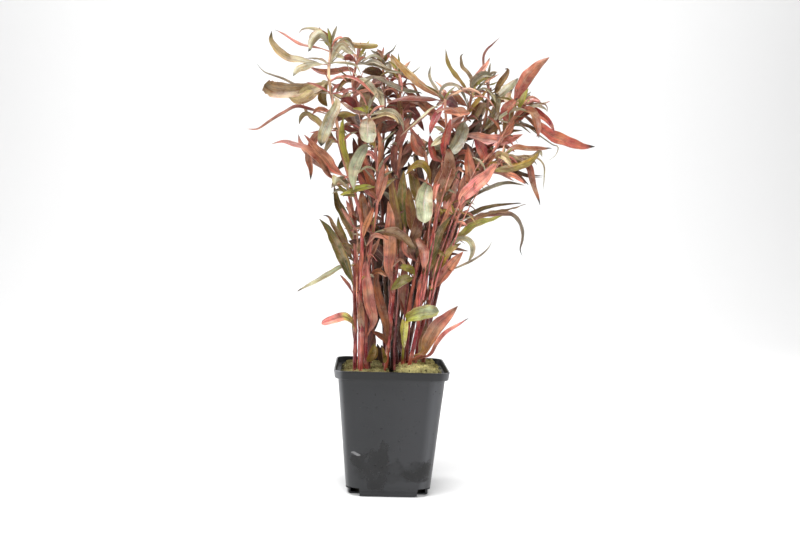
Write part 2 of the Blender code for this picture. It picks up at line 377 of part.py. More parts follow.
    ("stem_centre_front", 133, 9, (10, 10), "maroon", 10, [(1, 145), (2, 155), (2, 168)], None),
    ("stem_right_inner", 142, 8, (10, 10), "rust", 6, [(20, 148), (24, 158), (26, 172)], None),
    ("stem_right_inner", 200, 9, (20, 20), "brown", 6, [(14, 212), (12, 226), (10, 244)], None),
    ("stem_right_inner", 215, 9, (20, 10), "olive", 4, [(19, 232), (14, 248), (9, 264)], None),
    ("stem_right_inner", 225, 8, (10, 10), "maroon", 8, [(21, 240), (18, 255), (15, 272)], None),
    ("stem_right_lower", 216, 9, (20, 20), "pink", 8, [(43, 229), (46, 242), (51, 257)], None),
    ("stem_right_tall", 188, 5, (20, 20), "rust", 8, [(26, 197), (27, 206), (28, 216)], None),
    ("stem_left_centre", 106, 5, (10, 10), "maroon", 8, [(-16, 110), (-15, 116), (-14, 126)], None),
    ("stem_centre_front", 108, 7, (10, 10), "maroon", 8, [(-2, 114), (-2, 124), (-1, 138)], None),
    ("stem_left_centre", 236, 8, (20, 20), "rust", 8, [(-21, 248), (-25, 258), (-30, 272)], None),
    ("stem_left_back", 240, 9, (20, 20), "crimson", -4, [(-27, 252), (-31, 264), (-36, 282)], None),
    ("stem_right_tall", 232, 8, (20, 20), "olive", 6, [(40, 243), (46, 256), (50, 270)], None),
    ("stem_right_lower", 243, 7, (30, 20), "salmon", 4, [(64, 252), (70, 259), (78, 266)], None),
    ("stem_right_lower", 190, 5, (20, 20), "maroon", 8, [(44, 198), (47, 205), (51, 214)], None),
    ("stem_left_back", 338, 4, (50, 50), "sage", 6, [(-30, 342), (-22, 347), (-14, 344), (-10, 337)], None),
    ("stem_centre_back", 330, 4.5, (50, 50), "sage", 6, [(-6, 333), (2, 335), (9, 331), (13, 324)], None),
    ("stem_left_centre", 294, 4.5, (40, 40), "sage", 8, [(-14, 303), (-4, 303), (2, 297), (5, 288)], None),
]

BLUNT_LEAVES = ("leaf_left_golden", "leaf_left_sage_hanging", "leaf_left_sage_blunt", "leaf_middle_sage_hanging",
                "leaf_right_sage_hanging", "leaf_right_lime_folded", "leaf_top_sage_flat")

# Leaves that the front ones hide: for each stem how many, and the heights between which they grow
HIDDEN_LEAVES = {
    "stem_left_centre": (1, 130, 290),
    "stem_left_outer": (1, 130, 220),
    "stem_left_back": (3, 130, 335),
    "stem_centre_front": (2, 130, 325),
    "stem_centre_back": (3, 130, 335),
    "stem_right_lower": (1, 130, 262),
    "stem_right_outer": (1, 130, 300),
    "stem_back_middle": (3, 130, 315),
    "stem_back_right": (3, 130, 325),
}
HIDDEN_COLOURS = ("rust", "maroon", "crimson", "brown", "olive", "mauve", "salmon", "green")
# Outline of the dense part of the plant, seen from the front, which the hidden leaves keep inside
BODY_OUTLINE = [(-30, 100), (-33, 160), (-40, 190), (-46, 235), (-50, 262), (-60, 290), (-62, 325), (-50, 345),
                (-10, 342), (20, 322), (45, 325), (75, 330), (98, 325), (108, 305), (98, 285), (84, 262),
                (66, 240), (50, 222), (44, 195), (36, 165), (28, 130), (26, 100)]

COLOURS = {
    "sage": (0.33, 0.31, 0.22), "tan": (0.38, 0.27, 0.14), "golden": (0.30, 0.17, 0.04),
    "olive": (0.22, 0.18, 0.06), "green": (0.16, 0.17, 0.05), "lime": (0.36, 0.38, 0.09),
    "grey": (0.24, 0.23, 0.20), "brown": (0.20, 0.10, 0.05), "rust": (0.33, 0.09, 0.04),
    "salmon": (0.50, 0.19, 0.12), "pink": (0.55, 0.20, 0.19), "mauve": (0.36, 0.14, 0.13),
    "crimson": (0.33, 0.05, 0.04), "maroon": (0.14, 0.025, 0.02), "shadow": (0.06, 0.045, 0.02),
    "stem": (0.42, 0.11, 0.09), "wool": (0.36, 0.32, 0.13), "pot": (0.035, 0.036, 0.038),
}


# Scene

def clear_scene():
    for thing in list(bpy.data.objects):
        bpy.data.objects.remove(thing, do_unlink=True)


def make_collection(name):
    collection = bpy.data.collections.new(name)
    bpy.context.scene.collection.children.link(collection)
    return collection


def make_material(name, roughness=0.5):
    material = bpy.data.materials.get(name)
    if material:
        return material
    material = bpy.data.materials.new(name)
    material.use_nodes = True
    shader = material.node_tree.nodes["Principled BSDF"]
    shader.inputs["Base Color"].default_value = (*COLOURS[name], 1)
    shader.inputs["Roughness"].default_value = roughness
    shader.inputs["Metallic"].default_value = 0
    material.diffuse_color = (*COLOURS[name], 1)
    return material


def add_object(name, mesh_builder, material, collection):
    mesh = bpy.data.meshes.new(name)
    bmesh.ops.recalc_face_normals(mesh_builder, faces=mesh_builder.faces)
    mesh_builder.to_mesh(mesh)
    mesh_builder.free()
    thing = bpy.data.objects.new(name, mesh)
    collection.objects.link(thing)
    mesh.materials.append(material)
    return thing


# Routes: smooth lines through hand-placed points

def in_view(x, z, depth):
    on_plane = Vector((x * MM, 0, z * MM))
    return EYE + (on_plane - EYE) * ((depth * MM - EYE.y) / -EYE.y)


def seen_at(point):
    on_plane = EYE + (point - EYE) * (-EYE.y / (point.y - EYE.y))
    return on_plane.x / MM, on_plane.z / MM


# A centripetal Catmull-Rom curve, which makes no loops where points are unevenly spaced
def centripetal(points, share):
    a, b, c, d = points
    knots = [0.0]
    for p, q in zip(points, points[1:]):
        knots.append(knots[-1] + math.sqrt((q - p).length))
    k0, k1, k2, k3 = knots
    t = k1 + (k2 - k1) * share
    ab = a.lerp(b, (t - k0) / (k1 - k0))
    bc = b.lerp(c, (t - k1) / (k2 - k1))
    cd = c.lerp(d, (t - k2) / (k3 - k2))
    return ab.lerp(bc, (t - k0) / (k2 - k0)).lerp(bc.lerp(cd, (t - k1) / (k3 - k1)), share)


class Route:
    def __init__(self, points, steps=8):
        self.samples = []
        ends = [points[0] * 2 - points[1]] + list(points) + [points[-1] * 2 - points[-2]]
        for k in range(1, len(ends) - 2):
            for j in range(steps):
                self.samples.append(centripetal(ends[k - 1:k + 3], j / steps))
        self.samples.append(ends[-2].copy())
        self.lengths = [0.0]
        for a, b in zip(self.samples, self.samples[1:]):
            self.lengths.append(self.lengths[-1] + (b - a).length)
        self.length = self.lengths[-1]

    def at(self, distance):
        distance = max(0.0, min(self.length, distance))
        for k in range(1, len(self.lengths)):
            if distance <= self.lengths[k]:
                break
        step = self.lengths[k] - self.lengths[k - 1]
        return self.samples[k - 1].lerp(self.samples[k], (distance - self.lengths[k - 1]) / step)

    def direction(self, distance):
        reach = self.length * 0.02
        return (self.at(distance + reach) - self.at(distance - reach)).normalized()


# Stems

class Stem:
    def __init__(self, name, points):
        self.name = name
        world = [in_view(*point) for point in points]
        root = world[0] + (world[0] - world[1]).normalized() * ROOT_DEPTH
        self.route = Route([root] + world)
        self.bands = []
        self.leaves = []

    def radius(self, distance):
        share = distance / self.route.length
        return STEM_RADIUS + (STEM_TIP_RADIUS - STEM_RADIUS) * share

    def distance_at_height(self, z):
        steps = 240
        best = min(range(steps + 1), key=lambda k: abs(seen_at(self.route.at(self.route.length * k / steps))[1] - z))
        return self.route.length * best / steps

    def axes(self, distance):
        along = self.route.direction(distance)
        across = (Vector((1, 0, 0)) - along * along.x).normalized()
        return along, across, along.cross(across)

    def ring(self, distance, radius):
        along, across, back = self.axes(distance)
        centre = self.route.at(distance)
        angles = [math.tau * k / STEM_SIDES for k in range(STEM_SIDES)]
        return [centre + (across * math.cos(a) + back * math.sin(a)) * radius for a in angles]

    # The band of the stem nearest a height, or a new one where none is near. It joins the stem's
    # bands only when a leaf grows from it.
    def band_near(self, z):
        distance = self.distance_at_height(z)
        low = ROOT_DEPTH + NODE_BAND
        high = self.route.length - NODE_BAND * 1.2
        distance = max(low, min(high, distance))
        near = sorted(self.bands, key=lambda band: abs(band["distance"] - distance))
        if near and abs(near[0]["distance"] - distance) < NODE_SPACING:
            return near[0]
        return {"distance": distance, "used": {}}

    def grow_leaf(self, band, side, leaf):
        if band not in self.bands:
            self.bands.append(band)
        band["used"][side] = leaf
        self.leaves.append(leaf)

    # Outward direction, side and centre of a band's face
    def face(self, band, side):
        along, across, back = self.axes(band["distance"])
        angle = math.tau * (side + 0.5) / STEM_SIDES
        outward = across * math.cos(angle) + back * math.sin(angle)
        reach = self.radius(band["distance"]) * NODE_SWELL * math.cos(math.pi / STEM_SIDES)
        return outward, self.route.at(band["distance"]) + outward * reach

    # The two free faces of a band that look most nearly in a direction
    def nearest_faces(self, band, direction):
        sides = [side for side in range(STEM_SIDES) if side not in band["used"]]
        return sorted(sides, key=lambda side: -self.face(band, side)[0].dot(direction))[:2]

    def face_corners(self, band, side):
        after = (side + 1) % STEM_SIDES
        radius = self.radius(band["distance"]) * NODE_SWELL
        low = self.ring(band["distance"] - NODE_BAND / 2, radius)
        high = self.ring(band["distance"] + NODE_BAND / 2, radius)
        return [low[side], low[after], high[after], high[side]]


def build_stem(stem):
    builder = bmesh.new()
    stops = []
    for band in sorted(stem.bands, key=lambda band: band["distance"]):
        radius = stem.radius(band["distance"]) * NODE_SWELL
        stops.append((band["distance"] - NODE_BAND / 2, radius, None))
        stops.append((band["distance"] + NODE_BAND / 2, radius, band))
    length = stem.route.length
    count = 8
    for k in range(count + 1):
        distance = length * k / count
        if k in (0, count) or all(abs(distance - stop[0]) > NODE_SPACING * 1.2 for stop in stops):
            stops.append((distance, stem.radius(distance), None))
    stops.sort(key=lambda stop: stop[0])
    rings = []
    for distance, radius, band in stops:
        rings.append([builder.verts.new(point) for point in stem.ring(distance, radius)])
    builder.faces.new(list(reversed(rings[0])))
    builder.faces.new(rings[-1])
    for k in range(1, len(rings)):
        band = stops[k][2]
        for side in range(STEM_SIDES):
            after = (side + 1) % STEM_SIDES
            corners = [rings[k - 1][side], rings[k - 1][after], rings[k][after], rings[k][side]]
            leaf = band["used"].get(side) if band else None
            if leaf and leaf["name"] is None:
                grow_sections(builder, corners, leaf["sections"][1:])
            else:
                builder.faces.new(corners)
    return builder


# Leaves

def leaf_width(share, width, blunt):
    petiole = 0.10
    if share <= petiole:
        return PETIOLE_WIDTH
    u = min(1.0, (share - petiole) / (1 - petiole))
    power = 0.30 if blunt else 0.85
    peak = 0.62 if blunt else 0.45
    rise = power * peak / (1 - peak)
    top = peak ** rise * (1 - peak) ** power
    return max(TIP_WIDTH, PETIOLE_WIDTH * (1 - u), width * u ** rise * (1 - u) ** power / top)


def section(centre, along, normal, width, thickness):
    side = normal.cross(along)
    lift = normal * (LEAF_FOLD * width)
    return [centre + side * width / 2 + lift, centre + normal * thickness / 2,
            centre - side * width / 2 + lift, centre - normal * thickness / 2]


# The way the blade faces at each place: set by the turn where it is widest, and carried along from there
def blade_normals(places, alongs, turns, widths):
    widest = widths.index(max(widths))
    along = alongs[widest]
    to_eye = EYE - places[widest]
    facing = (to_eye - along * to_eye.dot(along)).normalized()
    sideways = along.cross(facing)
    hand = 1
    if sideways.z < -0.3 or (abs(sideways.z) <= 0.3 and sideways.x < 0):
        hand = -1
    normals = [None] * len(places)
    normals[widest] = Matrix.Rotation(math.radians(turns[widest]) * hand, 3, along) @ facing
    for step in (1, -1):
        k = widest + step
        while 0 <= k < len(places):
            before = normals[k - step]
            carried = (before - alongs[k] * before.dot(alongs[k])).normalized()
            change = math.radians(turns[k] - turns[k - step]) * hand
            normals[k] = Matrix.Rotation(change, 3, alongs[k]) @ carried
            k += step
    return normals


# Where the sections of a leaf stand along its line: two at the petiole, then closer where it bends
def station_shares(route):
    steps = 60
    petiole = PETIOLE_REACH / route.length
    stops = [petiole + (1 - petiole) * k / steps for k in range(steps + 1)]
    run = [0.0]
    for a, b in zip(stops, stops[1:]):
        turned = route.direction(route.length * a).angle(route.direction(route.length * b))
        run.append(run[-1] + route.length * (b - a) / STATION_SPACING + turned / STATION_TURN)
    count = max(2, min(6, round(run[-1])))
    shares = [0.0, petiole]
    for k in range(1, count):
        after = next(j for j in range(steps + 1) if run[j] >= run[-1] * k / count)
        shares.append(stops[after])
    return shares + [1.0]


def leaf_sections(leaf, turn_extra=0, fatten=0.0):
    route = leaf["route"]
    shares = station_shares(route)
    places = [route.at(route.length * share) for share in shares]
    alongs = [route.direction(route.length * share) for share in shares]
    first, last = leaf["turn"]
    turns = [first + (last - first) * share + turn_extra for share in shares]
    widths = [leaf_width(share, leaf["width"] * SECTION_FULLNESS, leaf["blunt"]) for share in shares]
    normals = blade_normals(places, alongs, turns, widths)
    sections = []
    for share, place, along, normal, width in zip(shares, places, alongs, normals, widths):
        thickness = LEAF_THICKNESS * (1 - 0.35 * share) + fatten * 2
        sections.append(section(place, along, normal, width + fatten * 2, thickness))
    return sections


# A leaf that is fused to its stem starts from the corners of a face of the stem
def rooted(sections, corners):
    first = sections[1]
    shift = min(range(4), key=lambda s: sum((corners[k] - first[(k + s) % 4]).length for k in range(4)))
    return [corners] + [[points[(k + shift) % 4] for k in range(4)] for points in sections[1:]]


def bridge(builder, before, after):
    for k in range(4):
        near = (k + 1) % 4
        builder.faces.new([before[k], before[near], after[near]])
        builder.faces.new([before[k], after[near], after[k]])


def grow_sections(builder, before, sections):
    for points in sections:
        after = [builder.verts.new(point) for point in points]
        bridge(builder, before, after)
        before = after
    builder.faces.new(before)


def build_leaf(leaf):
    builder = bmesh.new()
    start = [builder.verts.new(point) for point in leaf["sections"][0]]
    builder.faces.new(list(reversed(start)))
    grow_sections(builder, start, leaf["sections"][1:])
    return builder


def skin_of_sections(sections):
    points = [point for part in sections for point in part]
    faces = [(4 * k + j, 4 * k + (j + 1) % 4, 4 * k + 4 + (j + 1) % 4, 4 * k + 4 + j)
             for k in range(len(sections) - 1) for j in range(4)]
    last = 4 * (len(sections) - 1)
    faces += [(3, 2, 1, 0), (last, last + 1, last + 2, last + 3)]
    triangles = [triangle for a, b, c, d in faces for triangle in ((a, b, c), (a, c, d))]
    return points, triangles


def tree_of_sections(sections):
    points, triangles = skin_of_sections(sections)
    return BVHTree.FromPolygons(points, triangles, all_triangles=True)


def crosses_itself(sections):
    points, triangles = skin_of_sections(sections)
    tree = BVHTree.FromPolygons(points, triangles, all_triangles=True)
    return any(not set(triangles[a]) & set(triangles[b]) for a, b in tree.overlap(tree))


def box_of(sections, margin):
    points = [point for part in sections for point in part]
    low = Vector([min(point[k] for point in points) - margin for k in range(3)])
    high = Vector([max(point[k] for point in points) + margin for k in range(3)])
    return low, high


def boxes_meet(a, b):
    return all(a[0][k] <= b[1][k] and b[0][k] <= a[1][k] for k in range(3))


class Thicket:
    def __init__(self, stems, solids):
        self.grown = []
        for stem in stems:
            self.add_stem(stem)
        for low, high in solids:
            self.add_box(low, high)

    def add_stem(self, stem):
        count = 40
        stops = [stem.route.length * k / count for k in range(count + 1)]
        rings = [stem.ring(stop, stem.radius(stop) * NODE_SWELL) for stop in stops]
        points = [point for ring in rings for point in ring]
        faces = []
        for k in range(count):
            for side in range(STEM_SIDES):
                after = (side + 1) % STEM_SIDES
                low, high = k * STEM_SIDES, (k + 1) * STEM_SIDES
                faces.append((low + side, low + after, high + after, high + side))
        tree = BVHTree.FromPolygons(points, faces)
        self.grown.append((stem.name, box_of([points], 0), tree))

    def add_box(self, low, high):
        builder = bmesh.new()
        bmesh.ops.create_cube(builder, size=1)
        for vertex in builder.verts:
            vertex.co = Vector([low[k] + (high[k] - low[k]) * (vertex.co[k] + 0.5) for k in range(3)])
        points = [vertex.co.copy() for vertex in builder.verts]
        tree = BVHTree.FromBMesh(builder)
        builder.free()
        self.grown.append(("", box_of([points], 0), tree))

    def add_leaf(self, leaf):
        sections = leaf["sections"]
        self.grown.append(("", box_of(sections, 0), tree_of_sections(sections)))

    # A leaf that is fused to its stem may touch it where it grows from
    def is_clear(self, stem, sections, fused):
        whole, free = tree_of_sections(sections), tree_of_sections(sections[1:])
        box = box_of(sections, 0)
        for name, other_box, tree in self.grown:
            if boxes_meet(box, other_box):
                if (free if fused and name == stem.name else whole).overlap(tree):
                    return False
        return True


# A leaf's line: out of the stem's face, then through its points, going back or forward as it leaves
def leaf_route(stem, band, side, points, depth, own_piece):
    outward, start = stem.face(band, side)
    if own_piece:
        start = start + outward * LEAF_GAP
    stem_depth = stem.route.at(band["distance"]).y / MM
    total = len(points)
    line = [start, start + outward * PETIOLE_REACH]
    for k, (x, z) in enumerate(points):
        line.append(in_view(x, z, stem_depth + depth * (k + 1) / total))
    if (line[2] - line[1]).length < SHORT_SPAN:
        del line[2]
    return Route(line)


# The first place, near where the leaf is wanted, where it touches nothing that has grown before
def place_leaf(stem, height, leaf, points, depth, thicket):
    return any(place_on_band(stem, stem.band_near(height + climb), leaf, points, depth, thicket)
               for climb in CLIMB_STEPS)


def place_on_band(stem, band, leaf, points, depth, thicket):
    own_piece = leaf["name"] is not None
    full_width = leaf["width"]
    target = in_view(*points[0], stem.route.at(band["distance"]).y / MM + depth / len(points))
    sides = stem.nearest_faces(band, target - stem.route.at(band["distance"]))
    for narrower, turn_extra, side, more in itertools.product(WIDTH_STEPS, TURN_STEPS, sides, DEPTH_STEPS):
        leaf["width"] = full_width * narrower
        leaf["route"] = leaf_route(stem, band, side, points, depth + more, own_piece)
        test = leaf_sections(leaf, turn_extra, CLEARANCE)
        corners = stem.face_corners(band, side)
        if not own_piece:
            middle = sum(corners, Vector()) / 4 + stem.face(band, side)[0] * ROOT_LIFT
            test = rooted(test, [middle + (corner - middle) * ROOT_SHRINK for corner in corners])
        if crosses_itself(test) or not thicket.is_clear(stem, test, not own_piece):
            continue
        sections = leaf_sections(leaf, turn_extra)
        leaf["sections"] = sections if own_piece else rooted(sections, corners)
        if crosses_itself(leaf["sections"]):
            continue
        leaf["turn_extra"] = turn_extra
        stem.grow_leaf(band, side, leaf)
        thicket.add_leaf(leaf)
        return True
    leaf["width"] = full_width
    return False


def grow_traced_leaves(stems, thicket):
    missed = 0
    # The leaves that are pieces of their own take the best places first
    for stem_name, height, width, turn, colour, depth, points, name in sorted(LEAVES, key=lambda row: not row[-1]):
        leaf = {"name": name, "width": width * MM, "turn": turn, "colour": colour,
                "blunt": name in BLUNT_LEAVES}
        if not place_leaf(stems[stem_name], height, leaf, points, depth, thicket):
            missed += 1
            print("no room for", name, stem_name, height, colour)
    print("traced leaves:", len(LEAVES) - missed, "of", len(LEAVES))


def inside_outline(x, z, outline):
    inside = False
    for (ax, az), (bx, bz) in zip(outline, outline[1:] + outline[:1]):
        if (az > z) != (bz > z) and x < (bx - ax) * (z - az) / (bz - az) + ax:
            inside = not inside
    return inside


def grow_hidden_leaves(stems, thicket, seed):
    draw = random.Random(seed)
    grown = 0
    for stem_name, (count, low, high) in HIDDEN_LEAVES.items():
        stem = stems[stem_name]
        wanted = count
        for attempt in range(count * 14):
            height = low + (high - low) * draw.random() ** 0.7
            angle = draw.uniform(-0.35, 3.49)
            reach = draw.uniform(20, 46)
            rise = draw.uniform(0.1, 1.0)
            sag = draw.uniform(0.1, 0.7)
            width = draw.uniform(7.5, 11.5)
            turn = draw.uniform(-45, 45)
            colour = draw.choice(HIDDEN_COLOURS)
            if wanted == 0:
                continue
            distance = stem.distance_at_height(height)
            start = stem.route.at(distance)
            x, z = seen_at(start)
            flat = math.cos(angle) * reach
            middle = (x + flat * 0.5, z + reach * rise * 0.6)
            tip = (x + flat, z + reach * (rise - sag))
            if not all(inside_outline(*point, BODY_OUTLINE) for point in (middle, tip)):
                continue
            leaf = {"name": None, "width": width * MM, "turn": (turn, turn * 0.6), "colour": colour,
                    "blunt": False}
            if place_leaf(stem, height, leaf, [middle, tip], math.sin(angle) * reach, thicket):
                wanted -= 1
                grown += 1
    print("hidden leaves:", grown)


# Pot

def square_ring(builder, width, corner, height):
    half = width / 2 - corner
    ring = []
    for quarter in range(4):
        middle = Vector((half, half))
        for k in range(CORNER_SEGMENTS + 1):
            angle = math.pi / 2 * k / CORNER_SEGMENTS
            flat = middle + Vector((math.cos(angle), math.sin(angle))) * corner
            for _ in range(quarter):
                flat = Vector((-flat.y, flat.x))
            ring.append(builder.verts.new((flat.x, flat.y, height)))
    return ring


def pot_levels():
    wall_top = POT_RIM_WIDTH - 2 * LIP_OVERHANG
    wall_foot = POT_FOOT_WIDTH
    foot = POT_FOOT_WIDTH - 2 * FOOT_INSET
    lip = POT_HEIGHT - LIP_HEIGHT
    outer = [(foot, FOOT_CORNER, 0.0), (foot, FOOT_CORNER, FOOT_HEIGHT - FOOT_STEP),
             (wall_foot, FOOT_CORNER, FOOT_HEIGHT),
             (wall_top, WALL_CORNER, lip), (POT_RIM_WIDTH - LIP_DRAFT, RIM_CORNER, lip),
             (POT_RIM_WIDTH, RIM_CORNER, POT_HEIGHT)]
    inner = [(POT_RIM_WIDTH - 2 * POT_WALL, RIM_CORNER - POT_WALL, POT_HEIGHT),
             (POT_RIM_WIDTH - LIP_DRAFT - 2 * POT_WALL, RIM_CORNER - POT_WALL, lip + POT_WALL),
             (wall_top - 2 * POT_WALL, WALL_CORNER - POT_WALL, lip + POT_WALL),
             (wall_foot - 2 * POT_WALL, FOOT_CORNER - POT_WALL, FOOT_HEIGHT + POT_WALL),
             (foot - 2 * POT_WALL, FOOT_CORNER - POT_WALL, FOOT_HEIGHT - FOOT_STEP),
             (foot - 2 * POT_WALL, FOOT_CORNER - POT_WALL, POT_WALL)]
    return outer + inner


def make_pot(collection, cutters):
    builder = bmesh.new()
    rings = [square_ring(builder, *level) for level in pot_levels()]
    count = len(rings[0])
    for before, after in zip(rings, rings[1:]):
        for k in range(count):
            builder.faces.new([before[k], before[(k + 1) % count], after[(k + 1) % count], after[k]])
    builder.faces.new(list(reversed(rings[0])))
    builder.faces.new(rings[-1])
    pot = add_object("pot", builder, make_material("pot", 0.45), collection)
    cutter = make_notch_cutter(cutters)
    cut = pot.modifiers.new("notches", "BOOLEAN")
    cut.operation = "DIFFERENCE"
    cut.solver = "EXACT"
    cut.object = cutter
    return pot


# One block at each lower corner of the pot takes the foot away there, which leaves a drain opening.
# Each is wider at the ground, so that the foot's panels have slanted ends.
def make_notch_cutter(cutters):
    builder = bmesh.new()
    outside = POT_FOOT_WIDTH / 2 + NOTCH_WIDTH
    for turn_x, turn_y in itertools.product((-1, 1), (-1, 1)):
        made = bmesh.ops.create_cube(builder, size=1)["verts"]
        for vertex in made:
            top = vertex.co.z > 0
            inside = POT_FOOT_WIDTH / 2 - NOTCH_WIDTH - (0 if top else NOTCH_FLARE)
            x, y = (outside if part > 0 else inside for part in vertex.co.xy)
            vertex.co = Vector((x * turn_x, y * turn_y, NOTCH_HEIGHT if top else -NOTCH_HEIGHT))
    cutter = add_object("notch_cutter", builder, make_material("pot"), cutters)
    hide_cutter(cutter)
    return cutter


def hide_cutter(thing):
    thing.hide_render = True
    thing.display_type = "WIRE"


# Rock wool

# The nearest place to a point that is inside the pot's rounded square room at that height
def keep_in_pot(place, height):
    foot = POT_FOOT_WIDTH / 2 - POT_WALL - PLUG_CLEARANCE
    top = POT_RIM_WIDTH / 2 - LIP_OVERHANG - POT_WALL - PLUG_CLEARANCE
    share = max(0.0, min(1.0, (height - FOOT_HEIGHT) / (POT_HEIGHT - LIP_HEIGHT - FOOT_HEIGHT)))
    half = foot + (top - foot) * share - (FOOT_INSET if height < FOOT_HEIGHT else 0)
    corner = PLUG_FOOT_CORNER + (RIM_CORNER - PLUG_FOOT_CORNER) * share
    sign_x, sign_y = math.copysign(1, place.x), math.copysign(1, place.y)
    x, y = min(abs(place.x), half), min(abs(place.y), half)
    past = Vector((x - (half - corner), y - (half - corner)))
    if past.x > 0 and past.y > 0 and past.length > corner:
        past = past.normalized() * corner
        x, y = half - corner + past.x, half - corner + past.y
    return Vector((x * sign_x, y * sign_y))


def make_plug(name, collection, stems, cutters):
    (x, y), (width, depth), crown = PLUGS[name]
    floor = POT_WALL + PLUG_CLEARANCE
    builder = bmesh.new()
    bmesh.ops.create_cube(builder, size=1)
    bmesh.ops.subdivide_edges(builder, edges=builder.edges, cuts=1, use_grid_fill=True)
    for vertex in builder.verts:
        flat = Vector((vertex.co.x, vertex.co.y))
        share = vertex.co.z + 0.5
        scale = PLUG_TAPER + (1 - PLUG_TAPER) * share
        side = max(abs(flat.x), abs(flat.y)) * 2
        dome = (1 - side ** 2) * 0.0035 - 0.0035 if share > 0.99 else 0
        lump = noise.noise(Vector((vertex.co.x * 3 + x * 90, vertex.co.y * 3 + y * 70, vertex.co.z * 4)))
        inward = 1 - (abs(lump) + 0.2) * PLUG_LUMP / (width / 2)
        corner = 1 - 0.10 * (abs(flat.x) * abs(flat.y) * 4) ** 2
        height = floor + share * (crown - floor) + dome + (lump * PLUG_LUMP if share > 0.99 else 0)
        place = Vector((x * scale + flat.x * width * scale * inward * corner,
                        y * scale + flat.y * depth * scale * inward * corner))
        place = keep_in_pot(place, height)
        vertex.co = Vector((place.x, place.y, height))
    plug = add_object(name, builder, make_material("wool", 0.95), collection)
    for stem in stems:
        cutter = make_socket_cutter(stem, cutters)
        if cutter_meets(cutter, plug):
            cut = plug.modifiers.new("socket " + stem.name, "BOOLEAN")
            cut.operation = "DIFFERENCE"
            cut.solver = "EXACT"
            cut.object = cutter
    return plug


def make_socket_cutter(stem, cutters):
    name = "socket_" + stem.name
    if name in bpy.data.objects:
        return bpy.data.objects[name]
    builder = bmesh.new()
    radius = STEM_RADIUS * NODE_SWELL + SOCKET_GAP
    stops = [-SOCKET_GAP, ROOT_DEPTH, ROOT_DEPTH + 0.012]
    rings = []
    for stop in stops:
        points = stem.ring(max(0.0, stop), radius)
        drop = stem.route.direction(0) * min(0.0, stop)
        rings.append([builder.verts.new(point + drop) for point in points])
    for before, after in zip(rings, rings[1:]):
        for k in range(STEM_SIDES):
            near = (k + 1) % STEM_SIDES
            builder.faces.new([before[k], before[near], after[near], after[k]])
    builder.faces.new(list(reversed(rings[0])))
    builder.faces.new(rings[-1])
    cutter = add_object(name, builder, make_material("wool"), cutters)
    hide_cutter(cutter)
    return cutter


def cutter_meets(cutter, plug):
    spans = []
    for thing in (cutter, plug):
        corners = [vertex.co for vertex in thing.data.vertices]
        spans.append([(min(c[k] for c in corners), max(c[k] for c in corners)) for k in range(3)])
    return all(a[0] < b[1] and b[0] < a[1] for a, b in zip(*spans))


# The whole plant

def build():
    clear_scene()
    parts = make_collection("alternanthera_reineckii")
    cutters = make_collection("cutters")
    make_pot(parts, cutters)
    stems = {name: Stem(name, points) for name, points in STEMS.items()}
    for name in PLUGS:
        make_plug(name, parts, stems.values(), cutters)
    half = POT_RIM_WIDTH / 2
    pot_box = (Vector((-half, -half, 0)), Vector((half, half, POT_HEIGHT + 0.0005)))
    thicket = Thicket(stems.values(), [pot_box])
    grow_traced_leaves(stems, thicket)
    grow_hidden_leaves(stems, thicket, seed=7)
    for stem in stems.values():
        add_object(stem.name, build_stem(stem), make_material("stem", 0.5), parts)
        for leaf in stem.leaves:
            if leaf["name"]:
                add_object(leaf["name"], build_leaf(leaf), make_material(leaf["colour"], 0.5), parts)


build()
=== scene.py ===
import bisect
import itertools
import math
import random

import bmesh
import bpy
import numpy as np
from mathutils import Matrix, Vector, noise
from mathutils.kdtree import KDTree


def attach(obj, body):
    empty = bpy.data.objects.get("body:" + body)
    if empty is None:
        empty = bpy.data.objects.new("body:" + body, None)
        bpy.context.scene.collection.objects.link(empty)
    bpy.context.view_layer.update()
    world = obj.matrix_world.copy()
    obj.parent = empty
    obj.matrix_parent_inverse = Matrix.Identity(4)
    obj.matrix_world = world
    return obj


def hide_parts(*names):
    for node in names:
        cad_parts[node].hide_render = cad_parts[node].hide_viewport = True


# Potted alternanthera reineckii, seen from the front as in the photo.
# Metres, +Z up, origin under the middle of the pot, -Y to the front.

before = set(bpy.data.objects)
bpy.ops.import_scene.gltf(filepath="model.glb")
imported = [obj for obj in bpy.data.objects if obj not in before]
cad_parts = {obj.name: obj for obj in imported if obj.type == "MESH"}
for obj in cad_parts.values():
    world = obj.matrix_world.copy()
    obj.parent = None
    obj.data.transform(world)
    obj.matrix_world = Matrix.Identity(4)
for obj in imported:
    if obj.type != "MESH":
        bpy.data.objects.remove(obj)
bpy.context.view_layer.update()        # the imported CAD, which stays where it is
mm = 0.001

# where the camera stands; the plant is laid out on the plane y = 0 as seen from there
shot = {"eye": (-0.0235, -0.780, 0.2095), "turnRight": 2.1, "lookDown": 2.2, "roll": 1.7, "lens": 43.5}

# linear colours by the names used for the leaves
tones = {
    "sage": (0.305, 0.288, 0.195), "tan": (0.36, 0.262, 0.128), "golden": (0.30, 0.145, 0.020),
    "olive": (0.20, 0.152, 0.026), "green": (0.088, 0.090, 0.011), "lime": (0.30, 0.295, 0.030),
    "grey": (0.265, 0.258, 0.190), "brown": (0.165, 0.066, 0.022), "rust": (0.295, 0.086, 0.040),
    "salmon": (0.49, 0.180, 0.112), "pink": (0.60, 0.215, 0.175), "mauve": (0.38, 0.130, 0.098),
    "crimson": (0.30, 0.036, 0.030), "maroon": (0.095, 0.019, 0.010), "shadow": (0.035, 0.020, 0.008),
    "palePink": (0.62, 0.37, 0.24), "paleLime": (0.48, 0.46, 0.13), "coral": (0.40, 0.095, 0.060),
    "oxblood": (0.24, 0.046, 0.027), "greyGreen": (0.26, 0.285, 0.165),
}


